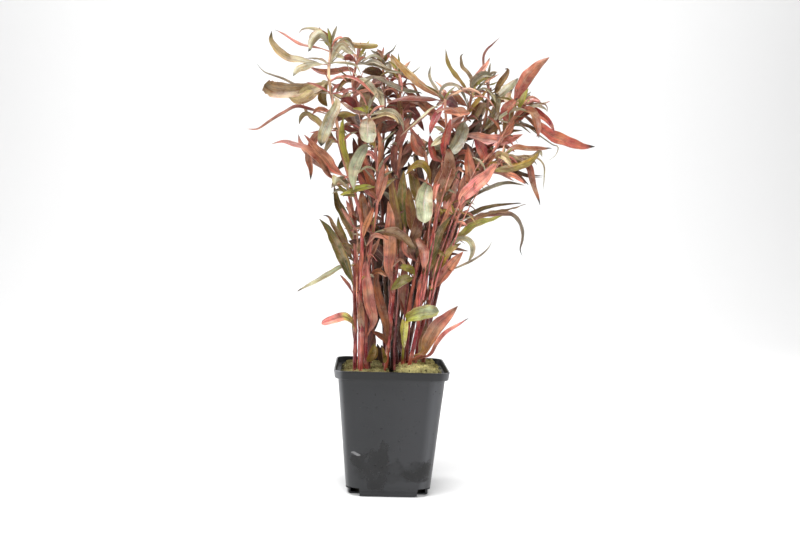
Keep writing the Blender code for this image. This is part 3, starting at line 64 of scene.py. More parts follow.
# each stem's line: x and z in mm as seen from the front, and how far behind the plane y = 0
stemLines = {
    "stem_left_tall": [(-24, 94, -24), (-24, 123, -24), (-26, 151, -24), (-26, 200, -22), (-28, 220, -20),
        (-37, 247, -18), (-46, 275, -16), (-48.5, 291, -15), (-53, 311, -14), (-56.5, 333, -13),
        (-55, 354, -12)],
    "stem_left_centre": [(-20, 95, -18), (-22, 151, -16), (-19.5, 192, -18), (-15, 228, -22),
        (-16, 262, -26), (-20.5, 288, -28), (-24.5, 302, -28)],
    "stem_left_outer": [(-29, 95, -15), (-29.5, 127, -15), (-31, 160, -14), (-31.5, 192, -13),
        (-34, 220, -12), (-38, 236, -12)],
    "stem_left_back": [(-17, 99, 20), (-15, 150, 18), (-18, 200, 14), (-23, 250, 8), (-28, 290, 3),
        (-34, 312, 0), (-37, 324, -2), (-34, 344, -4)],
    "stem_centre_front": [(-4, 97, -5), (0, 150, -3), (3, 200, 2), (1, 250, 6), (4, 290, 4), (1, 318, 4),
        (0, 334, 4)],
    "stem_centre_back": [(-5.5, 99, 14), (-6, 150, 20), (-9, 200, 22), (-12, 250, 20), (-11, 300, 16),
        (-12, 325, 14), (-14, 344, 13)],
    "stem_right_tall": [(15, 99, -16), (19, 121, -16), (21.5, 136, -14), (20, 153, -13), (23, 172, -13),
        (29, 194, -13), (34, 230, -12), (37, 262, -10), (39, 290, -10), (37, 316, -8)],
    "stem_right_lower": [(19, 99, -8), (26, 137, -6), (33, 162, -6), (38, 184, -8), (44, 199, -10),
        (52, 224, -14), (60, 240, -16), (73, 259, -16), (85, 269, -16)],
    "stem_right_outer": [(26, 100, 8), (30, 150, 6), (33, 190, 4), (37, 219, 2), (46, 234, 0),
        (63, 257, -2), (80, 278, -4), (92, 300, -6), (101, 313, -6)],
    "stem_right_inner": [(9.5, 99, -5), (14, 150, -4), (22, 195, -4), (30, 225, -2), (27, 250, -2),
        (22, 274, -4)],
    "stem_back_middle": [(12, 100, 22), (22, 160, 22), (33, 215, 20), (42, 258, 16), (50, 286, 12),
        (56, 306, 8), (60, 324, 6)],
    "stem_back_right": [(24, 100, 22), (36, 160, 26), (48, 215, 26), (60, 262, 22), (68, 290, 18),
        (72, 312, 16), (72, 331, 15)],
}

# Leaves laid out from the photo, by the stem that each grows from: height on it, width, turn (at base
# and tip where they differ), tone, depth of the tip past the stem, x and z of points towards the tip,
# and the CAD's node where the leaf is one of its own
leafRows = {}
leafRows["stem_left_tall"] = [
    (350, 7, (40, 70), "pink", -3, [-68,353.5, -77.5,355, -85.5,358.5, -93.5,363, -100.5,365.5],
     "leaf_left_top_pink"),
    (339, 9, (60, 45), "tan", -10, [-74,340.5, -86,342, -92,344, -96,347, -100,351.5, -103.5,357,
     -103,364.5], "leaf_left_top_tan"),
    (353, 5, (20, 60), "sage", 8, [-57.5,358, -61,362.5, -65.5,365, -73,367, -78.5,366, -81,363.5]),
    (352, 7, (10, 30), "sage", -16, [-58,360, -63,364, -67.5,361, -70.5,356, -71.5,352, -73.5,349],
     "leaf_left_top_sage"),
    (352, 4, 50, "lime", 2, [-55.5,360, -58,368.5]),
    (336, 7, (60, 20), "sage", -2, [-66,340, -72,339, -77.5,337, -81.5,334.5, -85,329],
     "leaf_left_hooked_sage"),
    (325, 12.5, (45, 0), "golden", -10, [-65.5,322, -73.5,319.5, -80,318, -88,317, -95,317, -101,318,
     -107.5,322], "leaf_left_golden"),
    (322, 9, (30, 10), "tan", -20, [-66,319, -71,315.5, -76.5,311.5, -82,310, -88,312.5]),
    (318, 2, 0, "grey", 4, [-72,318.5, -83,322.5, -93,327, -101,329.5, -108,332, -114,338]),
    (322, 8, 20, "olive", -6, [-61.5,318, -61.5,312, -57,306]),
    (305, 4, 30, "rust", -4, [-63.5,303.5, -69,299]),
    (299, 6, (70, 55), "pink", 6, [-71.5,303, -81,304.5, -91.5,299, -101,293, -112,286, -120.5,286],
     "leaf_left_far_pink"),
    (284, 7, 50, "tan", -4, [-63,291, -68,295.5, -73.5,299, -77,297, -79,291]),
    (287, 4, (50, 60), "tan", 8, [-67,295, -74,302.5, -76.5,308]),
    (316, 9.5, 10, "sage", -14, [-49.5,311, -50.5,304, -54,297, -57,289, -59.5,281, -61,274],
     "leaf_left_sage_hanging"),
    (249, 8, 50, "salmon", 4, [-51,250, -60.5,263, -72,273, -81,276, -92,277.5, -101,274.5],
     "leaf_left_salmon_long"),
    (252, 8.5, (30, 40), "salmon", -8, [-51,256, -58,264.5, -65.5,271, -70.5,277, -75,283]),
    (246, 6, (30, 40), "salmon", 12, [-57,256, -67,263, -73.5,270.5, -77.5,276, -79.5,283]),
    (276, 7, (30, 20), "rust", -16, [-55,283, -63,283, -68.5,272, -70,264, -68.5,256, -68.5,247],
     "leaf_left_rust_drooping"),
    (280, 6, (20, 30), "olive", -8, [-52,280, -56,273.5, -58,268]),
    (256, 6, (20, 40), "lime", -8, [-40.5,265.5, -43.5,276, -44.5,288, -44,299]),
    (244, 9, (70, 0), "sage", -30, [-43,247, -47,249, -50,241]),
    (239, 6, 20, "lime", -20, [-34,236.5, -37,237, -45,235.5]),
    (352, 5.5, (40, 30), "olive", 6, [-50,354.5, -44,357.5, -36.5,356.5, -28.5,356, -21,356, -17.5,356],
     "leaf_top_sage_flat"),
    (354, 7, (10, 20), "sage", -12, [-47,355.5, -41,351, -36,348.5]),
    (318, 4, 40, "tan", 6, [-49,316, -42,315, -38,318]),
    (297, 6, 30, "olive", 10, [-46,300, -39,301.5, -33,300]),
    (289, 4, 40, "maroon", 6, [-44,291.5, -37,294.5]),
    (124, 6, 0, "rust", -5, [-25,137, -26,152]),
]
leafRows["stem_left_centre"] = [
    (274, 9.5, (10, 0), "sage", -12, [-24.5,275.5, -28,271.5, -32.5,262, -35,252, -34,240],
     "leaf_left_sage_middle"),
    (301, 13, 0, "sage", -18, [-24.5,299, -24.5,292, -24,283, -24,278], "leaf_left_sage_blunt"),
    (243, 5.5, (20, 30), "lime", -10, [-25,242.5, -37,238, -44,235.5]),
    (298, 4, (30, 40), "maroon", 6, [-35,303, -45,309, -47,310]),
    (119, 9, 10, "mauve", -10, [-15.5,136, -19,148, -21,160, -23,176, -22,188]),
    (101, 8, (10, 20), "olive", -9, [-15.5,107, -14,117]),
    (232, 6, (10, 20), "crimson", -6, [-22,240, -27,247, -31,254]),
    (255, 5, 30, "rust", -2, [-13,266, -13,278, -16,290]),
    (225, 6, 20, "rust", -6, [-14,238, -12,250, -10,262]),
    (205, 9, 20, "rust", 6, [-24,215, -26,226, -28,240]),
    (106, 5, 10, "maroon", 8, [-16,110, -15,116, -14,126]),
    (236, 8, 20, "rust", 8, [-21,248, -25,258, -30,272]),
    (294, 4.5, 40, "sage", 8, [-14,303, -4,303, 2,297, 5,288]),
]
leafRows["stem_left_outer"] = [
    (193, 7.5, 20, "olive", 4, [-37,210, -42,219.5, -46.5,227.5, -50,243], "leaf_left_olive_tall"),
    (206, 5.5, (20, 30), "pink", -6, [-34.5,222, -40,232]),
    (160, 9, 10, "green", -10, [-36.5,175, -42.5,187, -49,199, -54,208, -61,216], "leaf_left_green_long"),
    (187, 5, (20, 30), "brown", 2, [-42,199, -50,211, -53.5,217.5, -58,219]),
    (172, 6, 20, "green", -2, [-37,190, -41.5,203, -45,212, -46,218.5]),
    (180, 7, (60, 50), "sage", 6, [-41,178, -51,171.5, -60.5,165.5, -68.5,161.5, -77,157],
     "leaf_left_low_sage"),
    (127, 7, (10, 20), "lime", -8, [-34,135, -39.5,137.5, -46,135.5, -57,131], "leaf_left_low_pink"),
    (166, 4.5, 20, "maroon", 8, [-31,180, -31,200, -31.5,222]),
    (110, 4, 10, "maroon", 8, [-30.5,125, -30.5,142, -31,160]),
]
leafRows["stem_left_back"] = [
    (327, 6, 30, "crimson", 6, [-37,335, -43,335.5, -48,334, -55,333, -63,333.5, -72,337],
     "leaf_left_crimson_arch"),
    (342, 5, 20, "crimson", -10, [-40,346, -46,344]),
    (343, 3, 40, "sage", 4, [-29,346, -27,351]),
    (318, 9, (10, 20), "brown", -6, [-30,321, -26.5,312, -28,302, -30,296]),
    (165, 8, (10, 20), "rust", -10, [-22,180, -24,196, -22,212]),
    (305, 8, 20, "olive", 6, [-29,306, -24,304, -19,307]),
    (326, 6, 40, "sage", -8, [-30,328, -25,325, -20,319, -16.5,313]),
    (322, 6, 50, "sage", 6, [-29,329, -17,329, -11,326, 2,321, 19,319], "leaf_top_sage_long"),
    (336, 4, 50, "grey", -6, [-27,341, -21,343, -10,338]),
    (300, 7, 20, "crimson", -14, [-33,306, -40,311, -46,313]),
    (284, 5, (20, 30), "crimson", -12, [-38,289, -47,290]),
    (240, 9, 20, "crimson", -4, [-27,252, -31,264, -36,282]),
    (338, 4, 50, "sage", 6, [-30,342, -22,347, -14,344, -10,337]),
]
leafRows["stem_centre_front"] = [
    (114, 7, 10, "rust", -8, [-4.5,132, -8.5,144, -12.5,156, -14.5,168, -13,174.5, -9,179.5],
     "leaf_middle_rust"),
    (117, 5, 20, "rust", -3, [-6,120, -16,127]),
    (99, 6, 30, "olive", -6, [-5.5,104, -8.5,115]),
    (160, 10.5, 0, "salmon", -12, [-4,180, -3.5,190, -4,205, -4,220, -6,232], "leaf_middle_salmon"),
    (185, 7, (20, 10), "brown", -10, [3.5,200, 2.5,213, -2,233, -5,249, -9,262]),
    (196, 8, (0, 10), "shadow", -5, [7,208, 7,222, 6.5,241, 4,259]),
    (268, 8, 10, "mauve", -6, [-1,273, 2,281, 5.5,291, 9.5,301]),
    (250, 6, 20, "mauve", -4, [-3,262, -2,275, 1,284]),
    (330, 4, (50, 60), "sage", -4, [-6,336, -14,340.5, -22,342.5, -30,341]),
    (322, 5, 40, "rust", -8, [6,320, 15,313.5]),
    (312, 7.5, (20, 10), "rust", -10, [8,313, 16,312, 22,307.5, 29.5,301.5, 36,295, 41,289.5],
     "leaf_centre_rust"),
    (331, 4, (40, 50), "crimson", 4, [5,334, 12,330]),
    (303, 8, 10, "crimson", -6, [-3,305, -9,303, -14,299]),
    (285, 6, 30, "brown", 3, [6,291, 10,300, 12,306]),
    (331, 6, 20, "tan", 8, [-1,335, -4,341, -7,349]),
    (133, 9, 10, "maroon", 10, [1,145, 2,155, 2,168]),
    (108, 7, 10, "maroon", 8, [-2,114, -2,124, -1,138]),
]
leafRows["stem_centre_back"] = [
    (328, 8, (30, 10), "brown", -14, [-16,333, -22,335.5, -30,334.5]),
    (300, 8, (20, 10), "crimson", -10, [-8,305, -5.5,307, 1,309.5, 7.5,310.5, 17,308.5]),
    (288, 9.5, 10, "oxblood", -12, [-15,289.5, -8,292, 1,295]),
    (270, 6, 20, "rust", -18, [-17,277, -15.5,286, -12.5,297]),
    (297, 4, 60, "sage", -14, [-17,300.5, -8.5,302, -1,298.5, 3,293]),
    (342, 6, (30, 40), "tan", -6, [-17,344, -18,340]),
    (343, 3, 40, "salmon", 0, [-10,347, -8,350.5]),
    (318, 6, 20, "sage", -10, [-18,322, -15,316, -12,304]),
    (328, 8, 10, "oxblood", -8, [-17,326, -20,320, -24,312, -29,306]),
    (280, 8, (20, 10), "brown", 8, [-14,288, -18,297, -21,303]),
    (340, 4, 30, "grey", -6, [-10,340.5, -7.5,335, -6.5,330]),
    (106, 6, 10, "rust", -6, [1,114, 4,126, 3,140]),
    (165, 8, 20, "rust", -4, [-12,175, -14,188, -15,203]),
    (125, 7, 10, "shadow", -6, [-6,138, -6,150, -5,168]),
    (330, 4.5, 50, "sage", 6, [-6,333, 2,335, 9,331, 13,324]),
]
leafRows["stem_right_tall"] = [
    (104, 6, 10, "brown", -3, [23,108, 26,121, 28,135]),
    (107, 11, (20, 0), "salmon", -10, [27,111, 31,121, 36.5,131.5, 43.5,139, 53,149],
     "leaf_right_low_salmon"),
    (168, 7, (10, 20), "green", -10, [29,178, 31.5,190, 35,202, 39,212, 46.5,223], "leaf_right_green_long"),
    (225, 11, 10, "rust", -6, [36,242, 42,257, 42,271, 40,279], "leaf_right_rust_broad"),
    (264, 6, 20, "crimson", 4, [31,268, 28,276, 26,286]),
    (313, 7, (20, 40), "golden", -4, [27,320.5, 17,327.5, 8.5,334.5, 0,342, -7.5,350],
     "leaf_top_golden_long"),
    (311, 6, (40, 50), "oxblood", 2, [27,315, 17,316, 5,316, -3,313.5, -11,310], "leaf_top_maroon_arch"),
    (307, 5, 70, "sage", -6, [28,307, 21.5,300.5, 11,291, 2,284]),
    (308, 6, 20, "crimson", -8, [32,303, 28,294, 26,286]),
    (314, 3, 30, "grey", 4, [30,322, 24,333, 25,341.5]),
    (288, 6, 20, "sage", -8, [34,282, 27,277]),
    (270, 7, (10, 20), "crimson", -4, [38,280, 40,292, 42,300]),
    (290, 8, (10, 20), "salmon", 8, [42,294, 47,299, 53,303]),
    (262, 8, 10, "shadow", 8, [42,268, 48,275, 52,283]),
    (240, 7, 20, "brown", 10, [41,247, 46,256, 49,263]),
    (188, 5, 20, "rust", 8, [26,197, 27,206, 28,216]),
    (232, 8, 20, "olive", 6, [40,243, 46,256, 50,270]),
]
leafRows["stem_right_lower"] = [
    (104, 5, (30, 60), "pink", -9, [32,109, 37,117.5, 41.5,124, 47,129, 55,134, 62,139]),
    (160, 9, 20, "salmon", -8, [36,166, 41.5,174, 49,184, 56,193], "leaf_right_salmon_short"),
    (168, 8, 20, "olive", -6, [36,180, 39,185, 45,193, 53.5,199]),
    (194, 7, (40, 30), "lime", -4, [49,200, 55,206, 61,212, 68.5,216, 78,219, 87,223],
     "leaf_right_lime_long"),
    (189, 5, 30, "sage", -12, [46,198, 52,203, 58,203, 63,198, 63.5,192, 60,184]),
    (176, 2.2, 30, "grey", -8, [49.5,179.5, 57.5,183, 65.5,187.5, 72,192, 76.5,197, 79,202]),
    (183, 6, 20, "rust", -9, [40,194, 42,206]),
    (225, 11, 10, "pink", -7, [54,236, 62,244, 71.5,253, 81,265], "leaf_right_pink_broad"),
    (233, 5, (40, 60), "sage", 4, [62,236.5, 68,240.5, 80,246, 90,249, 104,248]),
    (236, 9, 10, "rust", 10, [60,252, 58,264, 57,278]),
    (266, 6, (40, 50), "rust", 4, [88,273, 95,278, 107,277.5, 125,278.5], "leaf_right_rust_level"),
    (263, 5, 50, "brown", -6, [88,270, 95,269.5, 101,267.5, 108,265, 112,269.5, 115,275]),
    (268, 2, 40, "sage", 8, [93,271, 106,270, 113,270, 118.5,265, 119.5,254, 119,245]),
    (261, 6, (30, 20), "rust", -10, [92,266, 101,267, 107,262.5, 110,251, 113.5,242, 117,232.5],
     "leaf_right_rust_drooping"),
    (258, 2.2, 30, "shadow", -4, [87,261.5, 95,260, 104,257, 119,256]),
    (257, 5, 40, "rust", -12, [88,261, 94,258, 99,255, 107,248.5]),
    (265, 6, 20, "tan", -14, [82,272, 88,270, 93,263]),
    (262, 7, 20, "sage", -10, [88,268, 92,272, 97,270]),
    (260, 7, 20, "olive", 6, [95,263, 104,266, 110,270, 115,276]),
    (216, 9, 20, "pink", 8, [43,229, 46,242, 51,257]),
    (243, 7, (30, 20), "salmon", 4, [64,252, 70,259, 78,266]),
    (190, 5, 20, "maroon", 8, [44,198, 47,205, 51,214]),
]
leafRows["stem_right_outer"] = [
    (205, 7, (50, 60), "rust", -4, [44,210.5, 52.5,214.5, 60.5,219, 68.5,223, 80,226.5, 93,229, 106,233],
     "leaf_right_rust_long"),
    (212, 6, (55, 50), "olive", 8, [50,218, 60,222, 72,227.5, 81,230, 92,232, 102,233.5]),
    (208, 6, (50, 20), "pink", 16, [55,215, 70,221.5, 84,224, 94,224, 99.5,219.5, 103,212, 103.5,204,
     102,196, 104,191], "leaf_right_pink_drooping"),
    (252, 7, 20, "maroon", 6, [60,268, 59.5,275]),
    (262, 9, 10, "crimson", 8, [70,270, 66,278, 62,284]),
    (306, 10.5, (20, 10), "crimson", -8, [94,312, 96,320, 98,327, 101.5,334, 106.5,340, 112.5,346,
     120.5,351.5], "leaf_right_top_crimson"),
    (308, 5, (20, 30), "lime", -6, [100,317, 104.5,326]),
    (310, 5, 30, "lime", 6, [104,316, 106,321]),
    (309, 5, 60, "sage", 4, [106,310, 114,312, 122.5,316.5]),
    (311, 3, 40, "grey", -4, [110,312, 117,311, 121,308]),
    (303, 6.5, 20, "rust", -10, [102,308, 108,307, 111.5,300, 113,292.5, 114,286.5]),
    (308, 6, 20, "crimson", -2, [108,308, 117,303.5, 123.5,297.5, 127,291]),
    (300, 10, (40, 10), "salmon", 10, [104,302, 115,295, 125,288.5, 133,286, 141.5,283, 150,281, 160,281],
     "leaf_right_far_salmon"),
    (299, 2, 30, "shadow", -4, [99,304, 112,299]),
    (293, 2, 30, "shadow", -4, [96,297, 102,297.5, 113,293]),
    (296, 8, 20, "crimson", -8, [86,308, 90,312, 96,318]),
    (290, 5, 20, "salmon", -10, [91,292, 93,299, 95,305]),
    (300, 8, 10, "brown", 8, [90,312, 88,318, 92,325]),
]
leafRows["stem_right_inner"] = [
    (133, 11, (20, 0), "lime", -14, [12.5,137.5, 17,140, 23,142, 30,143.5, 38,144],
     "leaf_right_lime_folded"),
    (140, 6.5, (10, 20), "lime", -12, [10,135, 9.5,125, 10,112]),
    (172, 8, 10, "lime", -10, [14,170, 9.5,169.5, 3,165, -2,160], "leaf_middle_lime"),
    (176, 6.5, 20, "lime", -4, [15,176.5, 9.5,178.5, 5,181]),
    (183, 9, (0, 10), "maroon", -8, [13.5,192, 16,203, 18.5,214, 19.5,230], "leaf_middle_maroon"),
    (188, 5, 20, "mauve", -4, [9,192, 7.5,202, 7.5,214]),
    (197, 7.5, 10, "mauve", -16, [19.5,203, 23.5,195, 24.5,185, 24,176.5]),
    (243, 14, 0, "sage", -22, [25,246, 23.5,240, 22.5,232, 23,224, 24,215], "leaf_middle_sage_hanging"),
    (268, 6, 20, "sage", -8, [27,276, 34,281.5, 40,288]),
    (250, 6, (20, 30), "olive", -6, [24,259, 18.5,263, 12.5,260.5, 7,253]),
    (272, 6, (20, 30), "mauve", -4, [19,279, 14,285, 10,292]),
    (270, 5, 60, "grey", 4, [19,277, 13,280, 6,280]),
    (262, 7, (10, 20), "rust", 4, [20,270, 14,276, 11,288]),
    (130, 9, 10, "rust", 6, [11.5,142, 9,156, 7,172]),
    (106, 7, 10, "maroon", 8, [7,114, 5,126, 6,140]),
    (250, 9, 10, "maroon", 8, [29,256, 32,266, 33,277]),
    (142, 8, 10, "rust", 6, [20,148, 24,158, 26,172]),
    (200, 9, 20, "brown", 6, [14,212, 12,226, 10,244]),
    (215, 9, (20, 10), "olive", 4, [19,232, 14,248, 9,264]),
    (225, 8, 10, "maroon", 8, [21,240, 18,255, 15,272]),
]
leafRows["stem_back_middle"] = [
    (282, 7, 10, "maroon", -12, [58,276, 59,267, 57,251]),
    (300, 11, 10, "sage", -18, [55,298, 51.5,289, 47.5,280, 42.5,272], "leaf_right_sage_hanging"),
    (284, 10, (30, 20), "mauve", -12, [58,286.5, 70,284, 82.5,283, 91,284.5, 101,289],
     "leaf_right_mauve_level"),
    (296, 8, (20, 10), "brown", -6, [60,302, 65,309, 71,313]),
    (128, 9, 10, "maroon", -10, [18,142, 17,158, 20,174]),
    (160, 9, 10, "rust", -8, [20,174, 18,190, 14,204]),
    (284, 8, 10, "brown", 10, [60,290, 64,297, 67,304]),
    (318, 5, (40, 50), "olive", -4, [55,323, 50.5,329.5, 44.5,336.5, 39.5,343.5, 36.5,355],
     "leaf_top_olive_upright"),
    (323, 4, (30, 50), "tan", 2, [58,331, 54,337, 50,341, 49,346.5, 49,350, 51,352]),
    (322, 5, (20, 30), "pink", 8, [62,332, 66,338.5, 70,344, 72.5,349.5]),
    (320, 6.5, (40, 20), "sage", -8, [60.5,329, 64,333, 69,336, 75.5,334.5]),
    (309, 6, 20, "rust", -2, [52,311, 48.5,316, 45,320, 40,322.5]),
    (316, 3, 40, "grey", 6, [51,321, 47,326, 42,327, 33,324.5]),
    (305, 9, (30, 20), "salmon", -14, [55,305, 49.5,304, 44,304, 36,304.5]),
]
leafRows["stem_back_right"] = [
    (328, 2.4, 30, "mauve", 4, [69,337, 67.5,345, 67.5,351, 70,356, 74,360, 80,366]),
    (322, 5.5, (20, 10), "golden", -6, [78,322, 80.5,327, 83.5,332, 86.5,338, 87,341, 84.5,341],
     "leaf_top_golden_hooked"),
    (314, 9, (20, 10), "sage", 10, [77,317, 82,320.5, 88,326, 96,334]),
    (325, 6.5, 20, "olive", -14, [78,319, 78.5,309, 76,300, 68,290]),
    (321, 6, 20, "tan", -12, [72,316, 69,308, 61.5,293]),
    (329, 3, 40, "tan", -4, [76,333, 80,334]),
    (310, 6, (10, 20), "crimson", -8, [79,300, 80,290]),
    (292, 8, (10, 20), "brown", -8, [76,300, 82,303, 86,308]),
    (284, 8, 20, "brown", -8, [72,291, 78,294, 83,298]),
    (306, 9, 10, "olive", -4, [76,313, 82,318, 87,320]),
]

bluntLeaves = (
    "leaf_left_golden", "leaf_left_sage_hanging", "leaf_left_sage_blunt", "leaf_middle_sage_hanging",
    "leaf_right_sage_hanging", "leaf_right_lime_folded", "leaf_top_sage_flat",
)

# Leaves that the front ones hide: for each stem how many, and the heights between which they grow
hiddenLeaves = {
    "stem_left_centre": (1, 130, 290),
    "stem_left_outer": (1, 130, 220),
    "stem_left_back": (3, 130, 335),
    "stem_centre_front": (2, 130, 325),
    "stem_centre_back": (3, 130, 335),
    "stem_right_lower": (1, 130, 262),
    "stem_right_outer": (1, 130, 300),
    "stem_back_middle": (3, 130, 315),
    "stem_back_right": (3, 130, 325),
}
hiddenTones = ("rust", "maroon", "crimson", "brown", "olive", "mauve", "salmon", "green")
# Outline of the dense part of the plant, seen from the front, which the hidden leaves keep inside
bodyOutline = [
    (-30, 100), (-33, 160), (-40, 190), (-46, 235), (-50, 262), (-60, 290), (-62, 325), (-50, 345),
    (-10, 342), (20, 322), (45, 325), (75, 330), (98, 325), (108, 305), (98, 285), (84, 262), (66, 240),
    (50, 222), (44, 195), (36, 165), (28, 130), (26, 100),
]

# small leaves that the CAD leaves out: width, tone, how far they lean to the back, x and z of points
smallLeaves = [
    (9, "tan", -9, [-58,325, -64.5,321.5, -74,317, -81,311, -88,311.5]),
    (3, "golden", -3, [-55.5,356, -56.5,361.5, -58.5,368]),
    (4, "rust", -4, [-56,356, -58.5,361.5, -63,364.5, -66,363]),
    (5, "grey", -7, [-65,363, -70,361.5, -71.5,355.5, -72.5,350]),
    (1.5, "pink", -3, [-56,347.5, -52,359, -47.5,361.5, -43,356.5]),
    (5, "sage", -6, [-49,356, -42.5,359.5, -37,353.5, -35.5,349.5]),
    (4, "sage", -6, [-53,350.5, -48.5,347, -44,344.5]),
    (1.2, "paleLime", 0, [-34,344.5, -30.5,349, -27,348.5]),
    (1.5, "tan", 0, [-19.5,351.5, -14,349, -13,346]),
    (1.5, "grey", 0, [-11,349, -6.5,352, -3,357.5]),
    (4, "grey", -6, [-9,342, -7.5,336, -6.5,332.5]),
    (1.2, "sage", -6, [4,333.5, 12.5,336.5, 17,341]),
    (3, "crimson", -8, [-7.5,327.5, -0.5,333.5, 8.5,329.5]),
    (2.2, "sage", -8, [-57,340.5, -48.5,341.5, -35.5,339.5, -30.5,332.5]),
    (2.5, "mauve", -6, [-56.5,327.5, -45,330.5, -33.5,328, -18.5,315.5]),
    (3, "tan", -9, [-18,298.5, -9.5,301.5, -2,298.5, 1,293.5]),
    (2, "palePink", -5, [68,328.5, 75,333.5, 80,336.5]),
    (1.6, "paleLime", -6, [71.5,327, 75.5,328.5, 79,330.5]),
    (3, "paleLime", -4, [93.5,312.5, 99,317.5, 102,323.5]),
    (2.5, "palePink", -5, [94,313.5, 101,314.5, 105,318]),
    (1.2, "brown", -3, [118,314, 120.5,310, 119.5,307.5]),
    (2.5, "brown", -6, [96.5,297.5, 105,296, 111.5,293, 115,287]),
    (5, "rust", -8, [109.5,306.5, 113,299.5, 114,291.5, 112.5,287]),
    (8, "sage", -12, [69.5,285, 76,300, 80.5,317, 77.5,322]),
    (5, "sage", -9, [31,277, 37.5,284, 39,287.5]),
    (6, "sage", -10, [110.5,270.5, 115.5,275.5, 117.5,271.5]),
    (1.2, "sage", 0, [125.5,281.5, 130,280, 128.5,273.5, 123.5,269]),
    (3.5, "tan", -6, [90,272, 99,268, 109,265]),
    (2, "shadow", -3, [81.5,261, 93,260, 105,255.5, 118,255]),
    (4, "salmon", -4, [89,257.5, 96.5,255, 105,249]),
    (7, "sage", -12, [-40.5,246, -45.5,247.5, -50,245, -52,241]),
    (6, "olive", -8, [-18.5,100, -16,107.5, -14,116]),
    (4, "grey", -2, [-6.5,105, -7,110, -8,115.5]),
    (2, "lime", -4, [7,99, 9.5,108.5, 10,120.5]),
    (3, "rust", -6, [15.5,102.5, 23,106.5, 29,107.5]),
    (2.4, "palePink", -9, [9,178.5, 5.5,185.5, 2,183, -1.5,178]),
    (5, "rust", -10, [-9,319, -5.5,309.5, -0.5,300, -1,290.5]),
    (4, "brown", -8, [4.5,298.5, 1,309.5, -1,319]),
    (3.2, "pink", -9, [-38,311.5, -31.5,318, -22.5,320, -15.5,314.5]),
    (4, "mauve", -10, [36,253, 32,243.5, 31,232]),
    (5, "pink", -14, [45.5,226, 51,237.5, 53.5,249, 59,258.5]),
    (4.5, "salmon", -12, [39.5,208.5, 45.5,221.5, 53.5,232, 63,241]),
    (3, "mauve", -10, [50.5,223, 60,235.5, 70,246.5]),
    (5, "rust", -12, [26,254.5, 22.5,243, 23.5,230.5, 27,222.5]),
    (3, "golden", -8, [-4.5,249, 0,239.5, 0.5,225, -2.5,213.5]),
    (5, "maroon", -6, [7.5,233, 11,222, 10.5,209, 7,201]),
    (8, "mauve", -2, [8,183, 9,164.5, 8.5,150, 8,138]),
    (5, "brown", -3, [-7,98.5, -9,107.5, -11.5,116.5]),
    (6, "maroon", -4, [3.5,183, 6.5,193, 8.5,202.5, 10,210.5]),
    (5, "mauve", -6, [-16,176, -15.5,160, -14.5,143.5, -15,126.5]),
    (4, "salmon", -6, [30.5,193.5, 36.5,208.5, 41.5,223, 45.5,234.5]),
    (5, "maroon", -4, [-8,182.5, -6.5,194, -4.5,204, -4,212]),
    (5, "rust", -6, [-26,200, -23.5,211, -19.5,221, -17.5,228.5]),
    (9, "green", -8, [7.5,207.5, 6,223.5, 5,239.5, 6,257]),
    (4.5, "mauve", -5, [6,178.5, 6.5,191, 7,201, 8,210.5]),
    (8, "rust", -8, [29.5,230.5, 33,243.5, 37.5,256.5, 42,268]),
    (6, "olive", -6, [44.5,184.5, 40,194, 35,203.5, 31.5,213]),
    (5, "salmon", -8, [-15,226, -11.5,239, -8.5,250, -7,260.5]),
    (5, "crimson", -8, [-10,303, -4,308, 3.5,309, 11,306]),
    (3, "sage", -6, [-38,318, -30,323, -20.5,321.5, -10.5,315.5]),
    (2.4, "sage", -6, [-11,327, -2.5,325.5, 7,321, 17,315]),
    (3, "grey", -6, [33,320, 37.5,326.5, 45,327, 51.5,322.5]),
    (2.5, "palePink", -6, [46,320.5, 54,324, 62,322.5, 68.5,318]),
    (4, "golden", -8, [54.5,300, 60,310, 67,318, 71.5,324.5]),
    (4, "mauve", -10, [58.5,274.5, 68,278, 77.5,283.5, 85.5,285]),
    (3, "palePink", -10, [67,257.5, 76.5,263.5, 86,267.5, 94,269.5]),
    (3, "tan", -8, [96,268, 102,271.5, 108.5,270, 113.5,265]),
    (3, "sage", -5, [-27.5,341, -18.5,341, -9.5,337, 3.5,334.5]),
    (2, "pink", -5, [-47.5,317.5, -38,321, -30,316.5, -24.5,305.5]),
    (2, "pink", -5, [-1.5,335, 2,327, 3,317.5]),
    (2.4, "mauve", -6, [-12.5,333, -9,325, -17,314.5]),
    (2, "sage", -5, [57,322.5, 68.5,325, 75.5,320, 79,312]),
    (2.4, "rust", -6, [10,326, 17,316.5, 25,310.5, 33.5,307.5]),
    (2, "palePink", -6, [25.5,299, 33.5,306, 43,308, 51,303]),
    (6, "rust", -9, [-26,289.5, -18,296.5, -10,299.5, -2,297]),
    (3, "sage", -8, [82,301, 90,307.5, 98,309.5, 107.5,306.5]),
]

